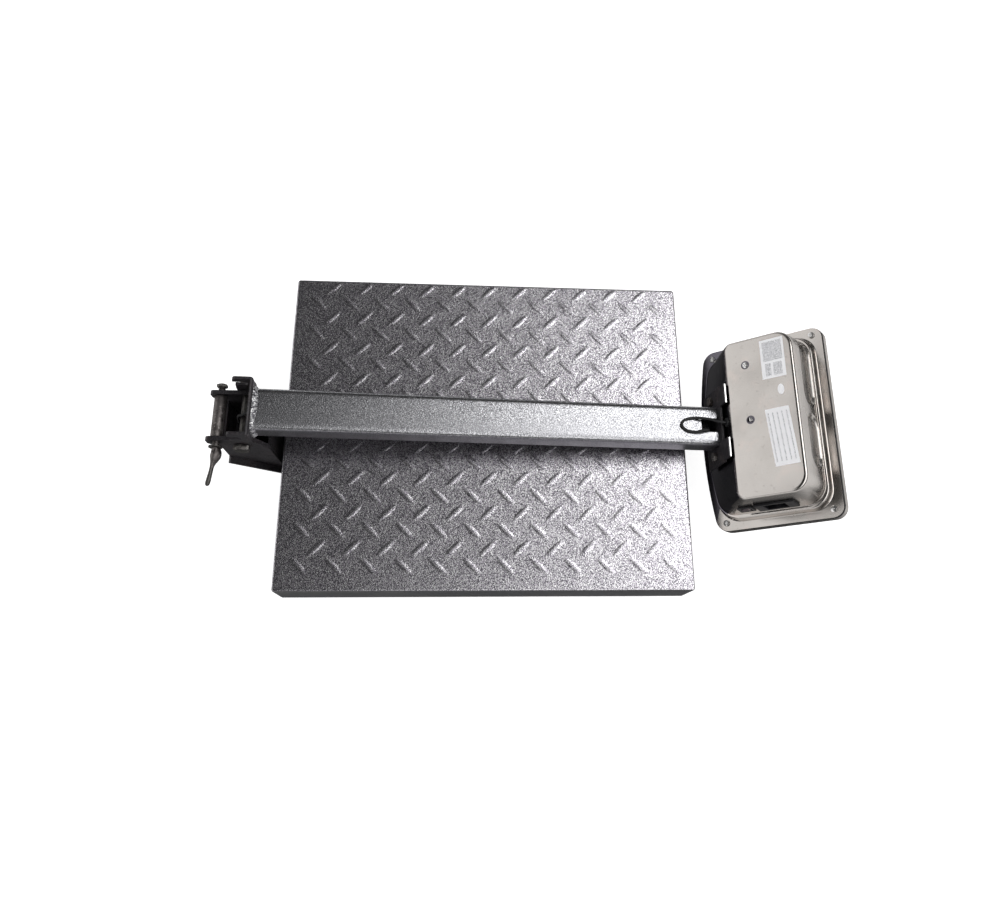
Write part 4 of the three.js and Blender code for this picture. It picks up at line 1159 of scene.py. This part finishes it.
def floor_look():
    look = bpy.data.materials.new("floor_look")
    look.use_nodes = True
    nodes, links = look.node_tree.nodes, look.node_tree.links
    shader = preset(nodes["Principled BSDF"], Roughness=0.9, Emission_Color=(1, 1, 1, 1),
                    Emission_Strength=FLOOR_GLOW)
    grain = preset(nodes.new("ShaderNodeTexNoise"), Scale=3.0)
    tone = preset(nodes.new("ShaderNodeMapRange"), From_Min=0.3, From_Max=0.7, To_Min=0.8, To_Max=0.82)
    links.new(grain.outputs["Fac"], tone.inputs["Value"])
    links.new(tone.outputs["Result"], shader.inputs["Base Color"])
    return look


floor_mesh = bpy.data.meshes.new("floor")
corners = [(x * FLOOR_SIZE, y * FLOOR_SIZE, 0) for x, y in ((-1, -1), (1, -1), (1, 1), (-1, 1))]
floor_mesh.from_pydata(corners, [], [(0, 1, 2, 3)])
floor_mesh.materials.append(floor_look())
floor = placed("floor", floor_mesh)
floor.visible_glossy = False


def soft_light(name, place, aim, size, power):
    data = bpy.data.lights.new(name, "AREA")
    data.shape = "RECTANGLE"
    data.size = data.size_y = size
    data.energy = power
    made = placed(name, data)
    made.location = place
    made.rotation_euler = (aim - place).to_track_quat("-Z", "Y").to_euler()
    return made


target = Vector((plate_middle.x, plate_middle.y, plate_high.z))
# The fill lights the dark sides from the left. The steel doesn't mirror it.
FILL = Sizes(place=Vector((-2.4, 0.9, 1.6)), aim=Vector((0.3, 0, 0)), size=1.4, power=28)
KEY = Sizes(place=Vector((1.6, 0.9, 2.6)), size=1.6, power=12)
fill = soft_light("fill", target + FILL.place, target + FILL.aim, FILL.size, FILL.power)
fill.visible_glossy = False
soft_light("key", target + KEY.place, target, KEY.size, KEY.power)

world = bpy.data.worlds.new("studio")
bpy.context.scene.world = world
world.use_nodes = True
sky_nodes, sky_links = world.node_tree.nodes, world.node_tree.links
split = sky_nodes.new("ShaderNodeSeparateXYZ")
sky_links.new(sky_nodes.new("ShaderNodeTexCoord").outputs["Generated"], split.inputs["Vector"])
east, north, up = split.outputs


def level_ramp(value, low, high, levels):
    """Brightness that follows one coordinate of the direction, as (coordinate, level) stops."""
    spread = preset(sky_nodes.new("ShaderNodeMapRange"), From_Min=low, From_Max=high)
    sky_links.new(value, spread.inputs["Value"])
    ramp = sky_nodes.new("ShaderNodeValToRGB")
    stops = ramp.color_ramp.elements
    while len(stops) < len(levels):
        stops.new(0.5)
    for stop, (coordinate, level) in zip(stops, levels):
        stop.position = (coordinate - low) / (high - low)
        stop.color = (level, level, level, 1)
    sky_links.new(spread.outputs["Result"], ramp.inputs["Fac"])
    return ramp.outputs["Color"]


def combined(operation, a, b):
    """A Math node's result; a and b are numbers or sockets."""
    made = sky_nodes.new("ShaderNodeMath")
    made.operation = operation
    for value, socket in zip((a, b), made.inputs):
        if isinstance(value, float):
            socket.default_value = value
        else:
            sky_links.new(value, socket)
    return made.outputs["Value"]


def times(a, b):
    return combined("MULTIPLY", a, b)


def plus(a, b):
    return combined("ADD", a, b)


# What the surfaces mirror. A pale floor that darkens straight below, and a dark room above.
ROOM = [(-1.0, 0.02), (-0.92, 0.05), (-0.78, 0.2), (-0.55, 0.4), (-0.42, 0.8), (-0.25, 0.95),
        (-0.02, 0.6), (0.05, 0.1), (0.5, 0.08), (0.7, 0.03), (1.0, 0.02)]
# A bright wall on the -X side.
WALL_SIDE = [(-0.75, 1.0), (-0.4, 0.0)]
WALL_HEIGHT = [(-0.05, 0.0), (0.1, 1.0), (0.5, 1.0), (0.62, 0.0)]
WALL_LEVEL = 0.9
# A soft box overhead that grows brighter towards +X.
OVERHEAD_SIDE = [(-0.165, 0.0), (-0.065, 0.05), (0.025, 0.21), (0.115, 0.49), (0.215, 0.82), (0.315, 0.98)]
OVERHEAD_SKEW = -0.12  # its edge leans, so the front of the plate is a little brighter than the back
OVERHEAD_HEIGHT = [(0.3, 0.0), (0.62, 1.0)]
OVERHEAD_FAR = [(0.52, 1.0), (0.62, 0.0)]  # it ends towards +Y, measured along OVERHEAD_AWAY
OVERHEAD_AWAY = (0.4, 0.9)
OVERHEAD_LEVEL = 1.84
room = level_ramp(up, -1, 1, ROOM)
wall = times(level_ramp(east, -1, 1, WALL_SIDE), level_ramp(up, -1, 1, WALL_HEIGHT))
side = plus(east, times(north, OVERHEAD_SKEW))
overhead = times(level_ramp(side, -0.5, 0.5, OVERHEAD_SIDE), level_ramp(up, 0, 1, OVERHEAD_HEIGHT))
away = plus(times(east, OVERHEAD_AWAY[0]), times(north, OVERHEAD_AWAY[1]))
overhead = times(overhead, level_ramp(away, -1, 1, OVERHEAD_FAR))
light = plus(room, times(wall, WALL_LEVEL))
light = plus(light, times(overhead, OVERHEAD_LEVEL))
sky_links.new(light, sky_nodes["Background"].inputs["Color"])

CAMERA_FROM_PLATE = Vector((-0.04078, -0.32161, 1.05177))
CAMERA_TURN = (19.91417, -5.42887, -0.83759)
CAMERA_LENS = 31.492
CAMERA_SHIFT = (-0.0400549, -0.0680988)
camera_data = bpy.data.cameras.new("camera")
camera_data.lens = CAMERA_LENS
camera_data.sensor_width = 36
camera_data.shift_x, camera_data.shift_y = CAMERA_SHIFT
camera = placed("camera", camera_data)
camera.location = target + CAMERA_FROM_PLATE
camera.rotation_euler = [radians(angle) for angle in CAMERA_TURN]
bpy.context.scene.camera = camera
bpy.context.scene.view_settings.view_transform = "Standard"
